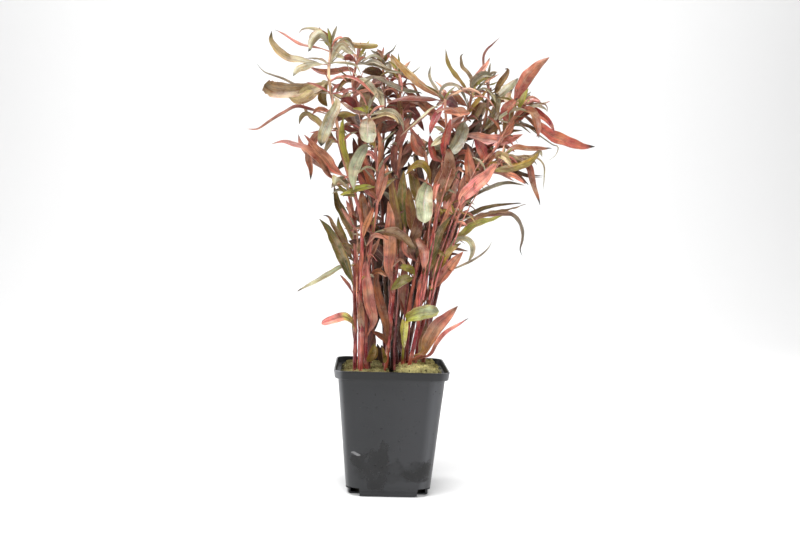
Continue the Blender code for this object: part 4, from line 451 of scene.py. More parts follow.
# side shoots, listed by the stem that each is fused to: radius, tone, depth, x and z of points
handShoots = {
    "stem_left_outer": [
        (0.8, "dark", -12, [-28,94, -29,123, -30,143, -32,161, -30.5,182]),
        (1.2, "crimson", -20, [-25.5,92.5, -26,115, -26.5,137, -28,159.5, -27.5,188]),
    ],
    "stem_left_centre": [
        (1.2, "dark", -14, [-17.5,96, -18,115, -18,137, -17.5,160, -19,182.5]),
        (0.9, "crimson", -12, [-19.5,94, -19.5,115, -19.5,137, -20,159.5]),
    ],
    "stem_centre_front": [
        (1.6, "brown", 0, [-2,98.5, -3.5,120, -5,144, -7.5,168, -9,192.5]),
        (1.7, "brown", 3, [1,97, 0,124, -2,152, -4,183, -7,204.5]),
        (1.7, "dark", 1, [5,98, 3.5,128, 1.5,152.5, 0,180.5, 1,205]),
        (1.3, "mauve", -6, [3,95.5, 2.5,112, 3,128, 4.5,152.5, 4.5,175]),
    ],
    "stem_right_inner": [
        (1.3, "dark", 2, [7.5,97.5, 7,120, 8,144.5, 9.5,168.5, 11,193]),
        (1.2, "crimson", -3, [13,101, 13.5,120.5, 14.5,140.5, 16,161, 18,183.5]),
    ],
    "stem_right_lower": [
        (1, "pink", -4, [20.5,103.5, 20.5,120.5, 22.5,141, 25,161, 29,184]),
        (0.8, "pink", -15, [31.5,153.5, 37.5,179.5, 44,202, 53.5,226.5, 66,247, 75,261]),
        (0.7, "pink", -17, [29.5,153, 34,179, 41.5,203.5, 50.5,229.5, 59.5,250.5, 67.5,267]),
        (0.6, "pink", -17, [43,184.5, 49,202, 57,223.5, 67.5,243, 80,261, 89.5,274]),
    ],
    "stem_right_tall": [
        (0.8, "pink", -18, [24.5,153, 28.5,177.5, 32,201.5, 34.5,222.5, 39.5,242, 44.5,260]),
        (0.9, "twig", -18, [20.5,145, 25,169, 26.5,193.5, 28,213.5, 31,234]),
    ],
}


# how the CAD grows its solids, which is repeated here to find where each leaf stands
growth = {
    "stemRadius": 0.0018, "stemTip": 0.0011, "sides": 5, "nodeSwell": 1.22, "nodeBand": 0.0022,
    "nodeSpacing": 0.0085, "rootDepth": 0.014, "petioleWidth": 0.0013, "petioleReach": 0.0022,
    "tipWidth": 0.0007, "fold": 0.09, "leafGap": 0.0004, "fullness": 1.1,
    "stationSpacing": 0.033, "stationTurn": math.radians(80),
    "depthSteps": (0, -3, 3, -6, 6, -9, 9, -13, 13, -17, 17, -22, 22, -28, 28),
    "turnSteps": (0, 25, -25, 50, -50), "widthSteps": (1.0, 0.75), "climbSteps": (0, -8, 8, -15),
    "sameTip": 0.0007, "samePoint": 0.00006, "seed": 7,
}
eye = Vector(shot["eye"])


# where x and z in mm as seen on the plane y = 0 stand at a depth, and the other way round
def inView(x, z, depth):
    onPlane = Vector((x * mm, 0, z * mm))
    return eye + (onPlane - eye) * ((depth * mm - eye.y) / -eye.y)


def seenAt(point):
    onPlane = eye + (point - eye) * (-eye.y / (point.y - eye.y))
    return onPlane.x / mm, onPlane.z / mm


# a centripetal Catmull-Rom curve, which makes no loops where points are unevenly spaced
def centripetal(points, share):
    a, b, c, d = points
    knots = [0.0]
    for p, q in zip(points, points[1:]):
        knots.append(knots[-1] + math.sqrt((q - p).length))
    k0, k1, k2, k3 = knots
    t = k1 + (k2 - k1) * share
    ab = a.lerp(b, (t - k0) / (k1 - k0))
    bc = b.lerp(c, (t - k1) / (k2 - k1))
    cd = c.lerp(d, (t - k2) / (k3 - k2))
    return ab.lerp(bc, (t - k0) / (k2 - k0)).lerp(bc.lerp(cd, (t - k1) / (k3 - k1)), share)


class Route:
    def __init__(self, points, steps=8):
        self.samples = []
        ends = [points[0] * 2 - points[1]] + list(points) + [points[-1] * 2 - points[-2]]
        for k in range(1, len(ends) - 2):
            for j in range(steps):
                self.samples.append(centripetal(ends[k - 1:k + 3], j / steps))
        self.samples.append(ends[-2].copy())
        self.lengths = [0.0]
        for a, b in zip(self.samples, self.samples[1:]):
            self.lengths.append(self.lengths[-1] + (b - a).length)
        self.length = self.lengths[-1]

    def at(self, distance):
        distance = max(0.0, min(self.length, distance))
        k = min(max(1, bisect.bisect_left(self.lengths, distance)), len(self.lengths) - 1)
        step = self.lengths[k] - self.lengths[k - 1]
        return self.samples[k - 1].lerp(self.samples[k], (distance - self.lengths[k - 1]) / step)

    def direction(self, distance):
        reach = self.length * 0.02
        return (self.at(distance + reach) - self.at(distance - reach)).normalized()


# the directions along a route, and across it to the right and to the back
def axesOf(route, distance):
    along = route.direction(distance)
    across = (Vector((1, 0, 0)) - along * along.x).normalized()
    return along, across, along.cross(across)


def turned(across, back, angle):
    return across * math.cos(angle) + back * math.sin(angle)


class Stem:
    def __init__(self, name, points):
        self.name = name
        world = [inView(*point) for point in points]
        root = world[0] + (world[0] - world[1]).normalized() * growth["rootDepth"]
        self.route = Route([root] + world)
        self.fine = Route([root] + world, steps=24)
        self.bands = []
        self.leaves = []
        steps = 240
        self.stops = [self.route.length * k / steps for k in range(steps + 1)]
        self.heights = [seenAt(self.route.at(stop))[1] for stop in self.stops]

    def radius(self, distance):
        thick, thin = growth["stemRadius"], growth["stemTip"]
        return thick + (thin - thick) * distance / self.route.length

    def distanceAtHeight(self, z):
        nearest = min(range(len(self.stops)), key=lambda k: abs(self.heights[k] - z))
        return self.stops[nearest]

    def bandNear(self, z):
        low = growth["rootDepth"] + growth["nodeBand"]
        high = self.route.length - growth["nodeBand"] * 1.2
        distance = max(low, min(high, self.distanceAtHeight(z)))
        near = sorted(self.bands, key=lambda band: abs(band["distance"] - distance))
        if near and abs(near[0]["distance"] - distance) < growth["nodeSpacing"]:
            return near[0]
        return {"distance": distance, "used": {}}

    # outward direction and centre of one face of a band
    def face(self, band, side):
        along, across, back = axesOf(self.route, band["distance"])
        outward = turned(across, back, math.tau * (side + 0.5) / growth["sides"])
        reach = self.radius(band["distance"]) * growth["nodeSwell"] * math.cos(math.pi / growth["sides"])
        return outward, self.route.at(band["distance"]) + outward * reach

    def nearestFaces(self, band, direction):
        sides = [side for side in range(growth["sides"]) if side not in band["used"]]
        return sorted(sides, key=lambda side: -self.face(band, side)[0].dot(direction))[:2]


def leafWidth(share, width, blunt, petioleWidth, tipWidth, square=False):
    petiole = 0.10
    if share <= petiole:
        return petioleWidth
    u = min(1.0, (share - petiole) / (1 - petiole))
    power = 0.14 if square else 0.30 if blunt else 0.85
    peak = 0.80 if square else 0.62 if blunt else 0.45
    rise = power * peak / (1 - peak)
    top = peak ** rise * (1 - peak) ** power
    return max(tipWidth, petioleWidth * (1 - u), width * u ** rise * (1 - u) ** power / top)


# the way the blade faces at each place: set where it is widest, and carried along from there
def bladeNormals(places, alongs, turns, widths):
    widest = widths.index(max(widths))
    along = alongs[widest]
    toEye = eye - places[widest]
    facing = (toEye - along * toEye.dot(along)).normalized()
    sideways = along.cross(facing)
    hand = 1
    if sideways.z < -0.3 or (abs(sideways.z) <= 0.3 and sideways.x < 0):
        hand = -1
    normals = [None] * len(places)
    normals[widest] = Matrix.Rotation(math.radians(turns[widest]) * hand, 3, along) @ facing
    for step in (1, -1):
        k = widest + step
        while 0 <= k < len(places):
            before = normals[k - step]
            carried = (before - alongs[k] * before.dot(alongs[k])).normalized()
            change = math.radians(turns[k] - turns[k - step]) * hand
            normals[k] = Matrix.Rotation(change, 3, alongs[k]) @ carried
            k += step
    return normals


# where the CAD's sections stand: two at the petiole, then closer where the leaf bends
def stationShares(route):
    steps = 60
    petiole = growth["petioleReach"] / route.length
    stops = [petiole + (1 - petiole) * k / steps for k in range(steps + 1)]
    run = [0.0]
    for a, b in zip(stops, stops[1:]):
        turned = route.direction(route.length * a).angle(route.direction(route.length * b))
        run.append(run[-1] + route.length * (b - a) / growth["stationSpacing"]
                   + turned / growth["stationTurn"])
    count = max(2, min(6, round(run[-1])))
    shares = [0.0, petiole]
    for k in range(1, count):
        after = next(j for j in range(steps + 1) if run[j] >= run[-1] * k / count)
        shares.append(stops[after])
    return shares + [1.0]


def leafLine(stem, band, side, points, depth, ownPiece):
    outward, start = stem.face(band, side)
    if ownPiece:
        start = start + outward * growth["leafGap"]
    stemDepth = stem.route.at(band["distance"]).y / mm
    line = [start, start + outward * growth["petioleReach"]]
    for k, (x, z) in enumerate(points):
        line.append(inView(x, z, stemDepth + depth * (k + 1) / len(points)))
    if (line[2] - line[1]).length < 0.003:
        del line[2]
    return line


# true if the CAD has a corner at each corner of these sections
def standsThere(tree, leaf, width, turnExtra):
    shares, places, alongs = leaf["shares"], leaf["places"], leaf["alongs"]
    first, last = leaf["turn"]
    turns = [first + (last - first) * share + turnExtra for share in shares]
    full, petiole, tip = width * growth["fullness"], growth["petioleWidth"], growth["tipWidth"]
    widths = [leafWidth(share, full, leaf["blunt"], petiole, tip) for share in shares]
    normals = bladeNormals(places, alongs, turns, widths)
    for k in range(len(shares) - 1, 0, -1):
        wide = widths[k]
        side = normals[k].cross(alongs[k])
        corner = places[k] + side * wide / 2 + normals[k] * (growth["fold"] * wide)
        if tree.find(corner)[2] > growth["samePoint"]:
            return False
    leaf["normals"] = normals
    return True


# tries the places that the CAD tried, and keeps the one where its solid really stands
def findLeaf(stem, height, leaf, points, depth, tree):
    for climb in growth["climbSteps"]:
        band = stem.bandNear(height + climb)
        centre = stem.route.at(band["distance"])
        sides = None
        for more in growth["depthSteps"]:
            tip = inView(*points[-1], centre.y / mm + depth + more)
            if tree.find(tip)[2] > growth["sameTip"]:
                continue
            if sides is None:
                target = inView(*points[0], centre.y / mm + depth / len(points))
                sides = stem.nearestFaces(band, target - centre)
            for side in sides:
                line = leafLine(stem, band, side, points, depth + more, leaf["name"] is not None)
                route = Route(line)
                leaf["shares"] = stationShares(route)
                leaf["places"] = [route.at(route.length * share) for share in leaf["shares"]]
                leaf["alongs"] = [route.direction(route.length * share) for share in leaf["shares"]]
                for narrower, turnExtra in itertools.product(growth["widthSteps"], growth["turnSteps"]):
                    if standsThere(tree, leaf, leaf["width"] * narrower, turnExtra):
                        leaf["width"] = leaf["width"] * narrower
                        leaf["line"], leaf["centre"] = line, centre
                        if band not in stem.bands:
                            stem.bands.append(band)
                        band["used"][side] = leaf
                        stem.leaves.append(leaf)
                        return True
    return False


def treeOf(places):
    tree = KDTree(len(places))
    for k, place in enumerate(places):
        tree.insert(place, k)
    tree.balance()
    return tree


def insideOutline(x, z, outline):
    inside = False
    for (ax, az), (bx, bz) in zip(outline, outline[1:] + outline[:1]):
        if (az > z) != (bz > z) and x < (bx - ax) * (z - az) / (bz - az) + ax:
            inside = not inside
    return inside


# a flat list of numbers as pairs of x and z
def inPairs(numbers):
    return list(zip(numbers[::2], numbers[1::2]))


# on each stem the leaves that are nodes come first, as in the CAD
def findTracedLeaves(stems, trees):
    found = 0
    for stem, rows in leafRows.items():
        for height, width, turn, tone, depth, points, *node in sorted(rows, key=lambda row: -len(row)):
            name = node[0] if node else None
            turn = turn if isinstance(turn, tuple) else (turn, turn)
            leaf = {"name": name, "width": width * mm, "turn": turn, "tone": tone,
                    "blunt": name in bluntLeaves, "shade": 1.0}
            found += findLeaf(stems[stem], height, leaf, inPairs(points), depth, trees[name or stem])
    print("traced leaves found in the CAD:", found, "of", sum(len(rows) for rows in leafRows.values()))


# ranges of the angle, reach, rise, sag, width and turn of a hidden leaf, which are the CAD's own
hiddenRanges = ((-0.35, 3.49), (20, 46), (0.1, 1.0), (0.1, 0.7), (7.5, 11.5), (-45, 45))


def findHiddenLeaves(stems, trees):
    draw = random.Random(growth["seed"])
    found = 0
    for stemName, (count, low, high) in hiddenLeaves.items():
        stem = stems[stemName]
        wanted = count
        for attempt in range(count * 14):
            height = low + (high - low) * draw.random() ** 0.7
            angle, reach, rise, sag, width, turn = [draw.uniform(*ends) for ends in hiddenRanges]
            tone = draw.choice(hiddenTones)
            if wanted == 0:
                continue
            x, z = seenAt(stem.route.at(stem.distanceAtHeight(height)))
            flat = math.cos(angle) * reach
            middle = (x + flat * 0.5, z + reach * rise * 0.6)
            tip = (x + flat, z + reach * (rise - sag))
            if not all(insideOutline(*point, bodyOutline) for point in (middle, tip)):
                continue
            leaf = {"name": None, "width": width * mm, "turn": (turn, turn * 0.6), "tone": tone,
                    "blunt": False, "shade": 0.75}
            if findLeaf(stem, height, leaf, [middle, tip], math.sin(angle) * reach, trees[stemName]):
                wanted -= 1
                found += 1
    print("hidden leaves found in the CAD:", found)


# Materials. The nodes of a material or of the world, with short calls for what the looks are made of.
class Nodes:
    def __init__(self, owner, shader="Principled BSDF", **sockets):
        owner.use_nodes = True
        self.owner, self.tree = owner, owner.node_tree
        self.shader = self.tree.nodes[shader]
        self.give(**sockets)

    def put(self, value, socket):
        if isinstance(value, bpy.types.NodeSocket):
            self.tree.links.new(value, socket)
        else:
            socket.default_value = value

    # values or outputs for the shader's inputs
    def give(self, **sockets):
        for name, value in sockets.items():
            self.put(value, self.shader.inputs[name.replace("_", " ")])

    def add(self, kind, inputs=None, **settings):
        made = self.tree.nodes.new("ShaderNode" + kind)
        for name, value in settings.items():
            setattr(made, name, value)
        for name, value in (inputs or {}).items():
            self.put(value, made.inputs[name])
        return made

    def mark(self, name):
        return self.add("Attribute", attribute_name=name).outputs["Fac"]

    def tone(self, name="tone"):
        return self.add("Attribute", attribute_name=name).outputs["Color"]

    def math(self, operation, a, b=0.0):
        return self.add("Math", {0: a, 1: b}, operation=operation).outputs[0]

    def times(self, a, b):
        return self.math("MULTIPLY", a, b)

    def plus(self, a, b):
        return self.math("ADD", a, b)

    def minus(self, a, b):
        return self.math("SUBTRACT", a, b)

    # from start to end where the value goes from low to high
    def ramp(self, value, low, high, start=0.0, end=1.0, kind="SMOOTHSTEP"):
        inputs = {"Value": value, "From Min": low, "From Max": high, "To Min": start, "To Max": end}
        return self.add("MapRange", inputs, interpolation_type=kind).outputs["Result"]

    def blend(self, share, a, b, kind="MIX"):
        a, b = ((*tone, 1) if isinstance(tone, tuple) else tone for tone in (a, b))
        return self.add("Mix", {0: share, 6: a, 7: b}, data_type="RGBA", blend_type=kind).outputs[2]

    # thin layers over a colour: pairs of a share and a tone
    def layers(self, colour, *pairs):
        for share, tone in pairs:
            colour = self.blend(share, colour, tone)
        return colour

    def shifted(self, colour, hue, light):
        return self.add("HueSaturation", {"Hue": hue, "Value": light, "Color": colour}).outputs[0]

    def noise(self, vector, scale, detail=3.0, roughness=0.55, output="Fac"):
        inputs = {"Vector": vector, "Scale": scale, "Detail": detail, "Roughness": roughness}
        return self.add("TexNoise", inputs).outputs[output]

    def vector(self, x, y, z):
        return self.add("CombineXYZ", {0: x, 1: y, 2: z}).outputs[0]

    def axes(self, place):
        return self.add("SeparateXYZ", {0: place}).outputs

    def moved(self, place, shift, operation="ADD"):
        return self.add("VectorMath", {0: place, 1: shift}, operation=operation).outputs[0]

    def scaled(self, place, *scale):
        return self.add("Mapping", {"Vector": place, "Scale": scale}).outputs[0]

    def place(self, seed=None):
        place = self.add("TexCoord").outputs["Object"]
        return place if seed is None else self.moved(place, self.vector(seed, seed, seed))

    def bump(self, height, strength, distance):
        made = self.add("Bump", {"Strength": strength, "Distance": distance, "Height": height})
        self.give(Normal=made.outputs["Normal"])


def newMaterial(name, **sockets):
    return Nodes(bpy.data.materials.new(name), **sockets)


leafLook = {
    "roughness": (0.25, 0.47), "bump": 0.6, "veins": 13, "gloss": 0.55, "rib": 0.34, "vein": 0.15,
    "paintedSheen": 0.34, "hue": (0.487, 0.514), "flush": (1.0, 0.52, 0.38), "paintedSheenTone": (0.58, 0.42, 0.27),
    "grooveShadeTone": (0.06, 0.028, 0.014), "paintedEdgeHighlight": (0.60, 0.42, 0.31), "darkEdge": (0.22, 0.062, 0.034),
    "fleckTone": (0.085, 0.038, 0.016), "dryTone": (0.032, 0.026, 0.022),
}


def makeLeafMaterial():
    look = leafLook
    mat = newMaterial("leaf tissue", Specular_IOR_Level=look["gloss"], Subsurface_Weight=0.06,
                      Subsurface_Scale=0.001, Subsurface_Radius=(1.0, 0.45, 0.25))
    tone, along, across = mat.tone(), mat.mark("lengthwise"), mat.mark("crosswise")
    seed, lit = mat.mark("leafSeed"), mat.mark("lit")
    place = mat.place(seed)
    far = mat.math("ABSOLUTE", across)

    # patches of the second tone, in long blotches that run with the leaf
    blotches = mat.noise(place, 120, 4)
    stretched = mat.vector(mat.times(along, 2.6), mat.times(across, 1.5), seed)
    patches = mat.noise(stretched, 1.5, 5, 0.62)
    colour = mat.blend(mat.ramp(patches, 0.44, 0.60, 0.0, 0.85), tone, mat.tone("mottle"))
    # one side of some leaves is redder, and so are the edges
    flush = mat.plus(across, mat.ramp(patches, 0.3, 0.7, -0.7, 0.7))
    flush = mat.ramp(flush, 0.35, 1.1, 0.0, 0.7)
    colour = mat.blend(flush, colour, mat.blend(0.6, tone, look["flush"], "MULTIPLY"))
    thin = mat.vector(mat.times(along, 2.0), mat.times(across, 8.0), seed)
    streaks = mat.noise(thin, 1.9, 4)
    light = mat.times(mat.ramp(blotches, 0.3, 0.7, 0.62, 1.26), mat.ramp(streaks, 0.3, 0.7, 0.64, 1.36))
    colour = mat.shifted(colour, mat.ramp(mat.noise(place, 60, 2), 0.3, 0.7, *look["hue"]), light)
    # painted sheen: pale patches, fewer where the leaf is painted as shaded
    paintedSheen = mat.times(mat.ramp(mat.noise(place, 85, 4), 0.50, 0.68, 0.0, look["paintedSheen"]), lit)

    # thin paler midrib between grooves darkened by painted shade, and arching side veins
    groove = mat.times(mat.ramp(far, 0.05, 0.22, 0.35, 0.0), mat.ramp(along, 0.6, 1.0, 1.0, 0.0))
    rib = mat.times(mat.ramp(far, 0.015, 0.07, 1.0, 0.0), mat.ramp(along, 0.6, 0.95, 1.0, 0.0))
    rib = mat.times(mat.times(rib, mat.ramp(patches, 0.3, 0.6, 0.3, 1.0)), lit)
    slanted = mat.minus(mat.times(along, float(look["veins"])), mat.times(far, 1.5))
    slanted = mat.plus(slanted, mat.times(blotches, 1.1))
    vein = mat.ramp(mat.math("PINGPONG", slanted, 0.5), 0.0, 0.12, 1.0, 0.0)
    vein = mat.times(vein, mat.ramp(far, 0.6, 1.0, 1.0, 0.0))

    # one edge carries a painted highlight, the other is dark and reddish; brown flecks and a dry dark tip
    edge = mat.times(mat.ramp(across, 0.86, 1.0), mat.ramp(streaks, 0.4, 0.62, 0.1, 0.6))
    margin = mat.times(mat.ramp(across, -0.80, -1.0), mat.ramp(streaks, 0.35, 0.6, 0.15, 0.6))
    flecks = mat.ramp(mat.noise(place, 420, 2), 0.66, 0.74, 0.0, 0.7)
    flecks = mat.times(flecks, mat.ramp(mat.noise(place, 90, 1), 0.45, 0.62))
    ragged = mat.plus(along, mat.times(mat.minus(blotches, 0.5), 0.12))
    dry = mat.times(mat.ramp(ragged, 0.88, 0.97), mat.mark("dryTip"))
    colour = mat.layers(colour, (paintedSheen, look["paintedSheenTone"]), (groove, look["grooveShadeTone"]),
                        (mat.times(rib, look["rib"]), tones["palePink"]),
                        (mat.times(mat.times(vein, lit), look["vein"]), tones["palePink"]),
                        (mat.times(edge, lit), look["paintedEdgeHighlight"]), (margin, look["darkEdge"]),
                        (flecks, look["fleckTone"]), (dry, look["dryTone"]))

    # leaves deep inside are duller than lit ones
    low, high = look["roughness"]
    rough = mat.minus(mat.ramp(blotches, 0.25, 0.75, low + 0.2, high + 0.2), mat.times(lit, 0.2))
    mat.give(Base_Color=colour, Roughness=rough)
    height = mat.plus(mat.times(streaks, 0.8), mat.times(mat.noise(place, 1500, 2), 0.25))
    mat.bump(mat.minus(height, mat.times(vein, 0.35)), look["bump"], 0.0003)
    return mat.owner


stemLook = {
    "roughness": (0.24, 0.40), "bump": 0.35, "gloss": 0.6, "hue": (0.491, 0.514),
    "paleStreaks": (0.66, 0.26, 0.23), "nodeTone": (0.52, 0.30, 0.20), "scarTone": (0.14, 0.05, 0.035),
}


def makeStemMaterial():
    look = stemLook
    mat = newMaterial("stem skin", Specular_IOR_Level=look["gloss"], Subsurface_Weight=0.06,
                      Subsurface_Scale=0.001)
    tone, node, place = mat.tone(), mat.mark("nodeRing"), mat.place(mat.mark("leafSeed"))
    streaks = mat.noise(mat.scaled(place, 1, 1, 0.12), 760, 4, 0.6)
    blotches = mat.noise(place, 90, 3)
    light = mat.times(mat.ramp(streaks, 0.3, 0.7, 0.50, 1.42), mat.ramp(blotches, 0.3, 0.7, 0.60, 1.30))
    colour = mat.shifted(tone, mat.ramp(mat.noise(place, 45, 2), 0.35, 0.65, *look["hue"]), light)
    pale = mat.times(mat.ramp(streaks, 0.55, 0.70), 0.40)
    scars = mat.times(node, mat.ramp(mat.noise(place, 700, 2), 0.52, 0.62))
    colour = mat.layers(colour, (pale, look["paleStreaks"]), (mat.times(node, 0.35), look["nodeTone"]),
                        (scars, look["scarTone"]))
    mat.give(Base_Color=colour, Roughness=mat.ramp(blotches, 0.3, 0.7, *look["roughness"]))
    mat.bump(streaks, look["bump"], 0.0002)
    return mat.owner


# The smudge is the union of soft blobs on the front: where, and how far they reach across and up.
potMarks = {
    "smudges": (((-0.017, 0.0265), (0.0125, 0.0110)), ((-0.0065, 0.034), (0.0050, 0.0105)),
                ((-0.0250, 0.0320), (0.0070, 0.0060)), ((0.004, 0.0235), (0.0120, 0.0060)),
                ((-0.010, 0.0135), (0.0080, 0.0100)), ((0.0250, 0.0240), (0.0140, 0.0055)),
                ((0.0100, 0.0170), (0.0230, 0.0060))),
    # a painted highlight streak, made of blobs in the same way
    "highlightStreak": (((-0.0280, 0.0360), (0.0020, 0.0009)), ((-0.0262, 0.0350), (0.0020, 0.0010)),
               ((-0.0245, 0.0341), (0.0019, 0.0009))),
    # colours: a painted reflection on the rounded corners, painted light on the right of the front, a
    # painted reflection on a band beside the right corner; the wet colour is also painted shade on the rim
    # and inside
    "highlightTone": (0.20, 0.202, 0.205), "paintedCornerReflection": (0.115, 0.118, 0.125), "lit": (0.036, 0.0368, 0.041),
    "band": (0.080, 0.082, 0.089),
    "plain": (0.0175, 0.0183, 0.0203), "cloud": (0.023, 0.0240, 0.0265), "wet": (0.0050, 0.0052, 0.0058),
    "dust": (0.11, 0.108, 0.10), "drops": (0.005, 0.005, 0.0055), "inside": (0.004, 0.004, 0.004),
}


# 1 inside blobs on the front and 0 outside, where warp says how far their outline strays
def blobsOf(mat, place, blobs, warp):
    strays = mat.moved(mat.noise(place, 75.0, 4.0, 0.62, "Color"), (0.5, 0.5, 0.5), "SUBTRACT")
    shift = mat.add("VectorMath", {0: strays, "Scale": warp}, operation="SCALE").outputs[0]
    axes = mat.axes(mat.moved(place, shift))
    inside = None
    for (x, z), (across, up) in blobs:
        a = mat.math("DIVIDE", mat.minus(axes[0], x), across)
        b = mat.math("DIVIDE", mat.minus(axes[2], z), up)
        far = mat.math("SQRT", mat.plus(mat.times(a, a), mat.times(b, b)))
        inside = far if inside is None else mat.math("MINIMUM", inside, far)
    front = mat.ramp(mat.axes(place)[1], -0.031, -0.028, 1.0, 0.0)
    return mat.times(mat.ramp(inside, 0.80, 1.12, 1.0, 0.0), front)


# painted reflections: 1 on the rounded corners of the pot, more on the left than on the right, and 1 on a
# band beside the right corner of the front
def cornersOf(mat, place):
    p = potShape
    x, y, z = mat.axes(place)
    half = mat.ramp(z, p["footHeight"], p["height"] - p["lip"], p["foot"] / 2, p["rim"] / 2 - p["overhang"],
                    "LINEAR")
    side = mat.math("DIVIDE", mat.math("ABSOLUTE", x), half)
    front = mat.math("DIVIDE", mat.math("ABSOLUTE", y), half)
    mask = mat.times(mat.ramp(side, 0.89, 0.99), mat.ramp(front, 0.50, 0.75))
    fading = mat.ramp(z, 0.0, 0.085, 0.30, 1.0)
    corners = mat.times(mat.times(mask, fading), mat.ramp(x, -0.02, 0.02, 1.0, 0.35))
    band = mat.times(mat.ramp(mat.math("DIVIDE", x, half), 0.66, 0.84),
                     mat.ramp(mat.math("DIVIDE", y, half), -0.86, -0.97))
    return corners, band


def makePotMaterial():
    look = potMarks
    mat = newMaterial("pot plastic", Specular_IOR_Level=0.4)
    place = mat.place()
    x, _, z = mat.axes(place)
    clouds = mat.noise(place, 28, 3)
    wet = blobsOf(mat, place, look["smudges"], 0.018)
    wet = mat.times(wet, mat.ramp(mat.noise(place, 70, 4), 0.42, 0.66, 1.0, 0.30))
    runs = mat.ramp(mat.noise(mat.scaled(place, 1, 1, 0.07), 330, 2), 0.60, 0.72, 0.0, 0.5)
    dust = mat.ramp(mat.noise(place, 1100, 3), 0.66, 0.78, 0.0, 0.4)
    spots = mat.ramp(mat.noise(place, 380, 1), 0.72, 0.76, 0.0, 0.8)
    corners, band = cornersOf(mat, place)
    lipFoot = potShape["height"] - potShape["lip"]
    # the face of the rim is darkened with the wet colour: painted shade
    rim = mat.ramp(z, lipFoot - 0.0015, lipFoot + 0.0015, 0.0, 0.85)
    highlightStreak = mat.times(blobsOf(mat, place, look["highlightStreak"], 0.003), 0.85)
    colour = mat.blend(mat.ramp(clouds, 0.3, 0.7), look["plain"], look["cloud"])
    # painted light on the right of the front, painted reflections on the corners and beside the right
    # corner, painted shade on the rim and a painted highlight streak, over damp smudges, runs, drops and
    # dust
    colour = mat.layers(colour, (mat.ramp(x, -0.014, 0.034, 0.0, 0.75), look["lit"]),
                        (mat.times(band, 0.8), look["band"]), (wet, look["wet"]), (rim, look["wet"]),
                        (corners, look["paintedCornerReflection"]), (highlightStreak, look["highlightTone"]),
                        (mat.times(runs, 0.35), look["plain"]), (spots, look["drops"]), (dust, look["dust"]))
    rough = mat.minus(mat.ramp(clouds, 0.3, 0.7, 0.32, 0.42), mat.times(wet, 0.15))
    mat.give(Base_Color=colour, Roughness=mat.plus(rough, mat.times(dust, 0.3)))
    mat.bump(mat.noise(place, 2600, 2), 0.12, 0.0001)
    return mat.owner


# the pot's inner faces are near black: painted shade inside the pot
def makePotInsideMaterial():
    mat = newMaterial("pot inside", Specular_IOR_Level=0.3)
    place = mat.place()
    clouds = mat.noise(place, 60, 4)
    mat.give(Base_Color=mat.blend(mat.ramp(clouds, 0.4, 0.7), potMarks["inside"], potMarks["wet"]),
             Roughness=mat.ramp(clouds, 0.3, 0.7, 0.5, 0.7))
    mat.bump(mat.noise(place, 2600, 2), 0.12, 0.0001)
    return mat.owner


def makeWoolMaterial():
    mat = newMaterial("rock wool", Specular_IOR_Level=0.15)
    place = mat.place()
    clumps, fuzz = mat.noise(place, 230, 5, 0.65), mat.noise(place, 1500, 3)
    light = mat.times(mat.ramp(clumps, 0.3, 0.7, 0.55, 1.35), mat.ramp(fuzz, 0.3, 0.7, 0.7, 1.25))
    brown = mat.ramp(mat.noise(place, 170, 3), 0.58, 0.68, 0.0, 0.8)
    dark = mat.ramp(mat.noise(place, 420, 2), 0.60, 0.68, 0.0, 0.85)
    colour = mat.layers(mat.shifted(mat.tone(), 0.5, light), (brown, (0.16, 0.10, 0.04)),
                        (dark, (0.04, 0.03, 0.015)))
    mat.give(Base_Color=colour, Roughness=mat.ramp(clumps, 0.3, 0.7, 0.85, 0.98))
    mat.bump(mat.plus(clumps, fuzz), 0.8, 0.0005)
    return mat.owner


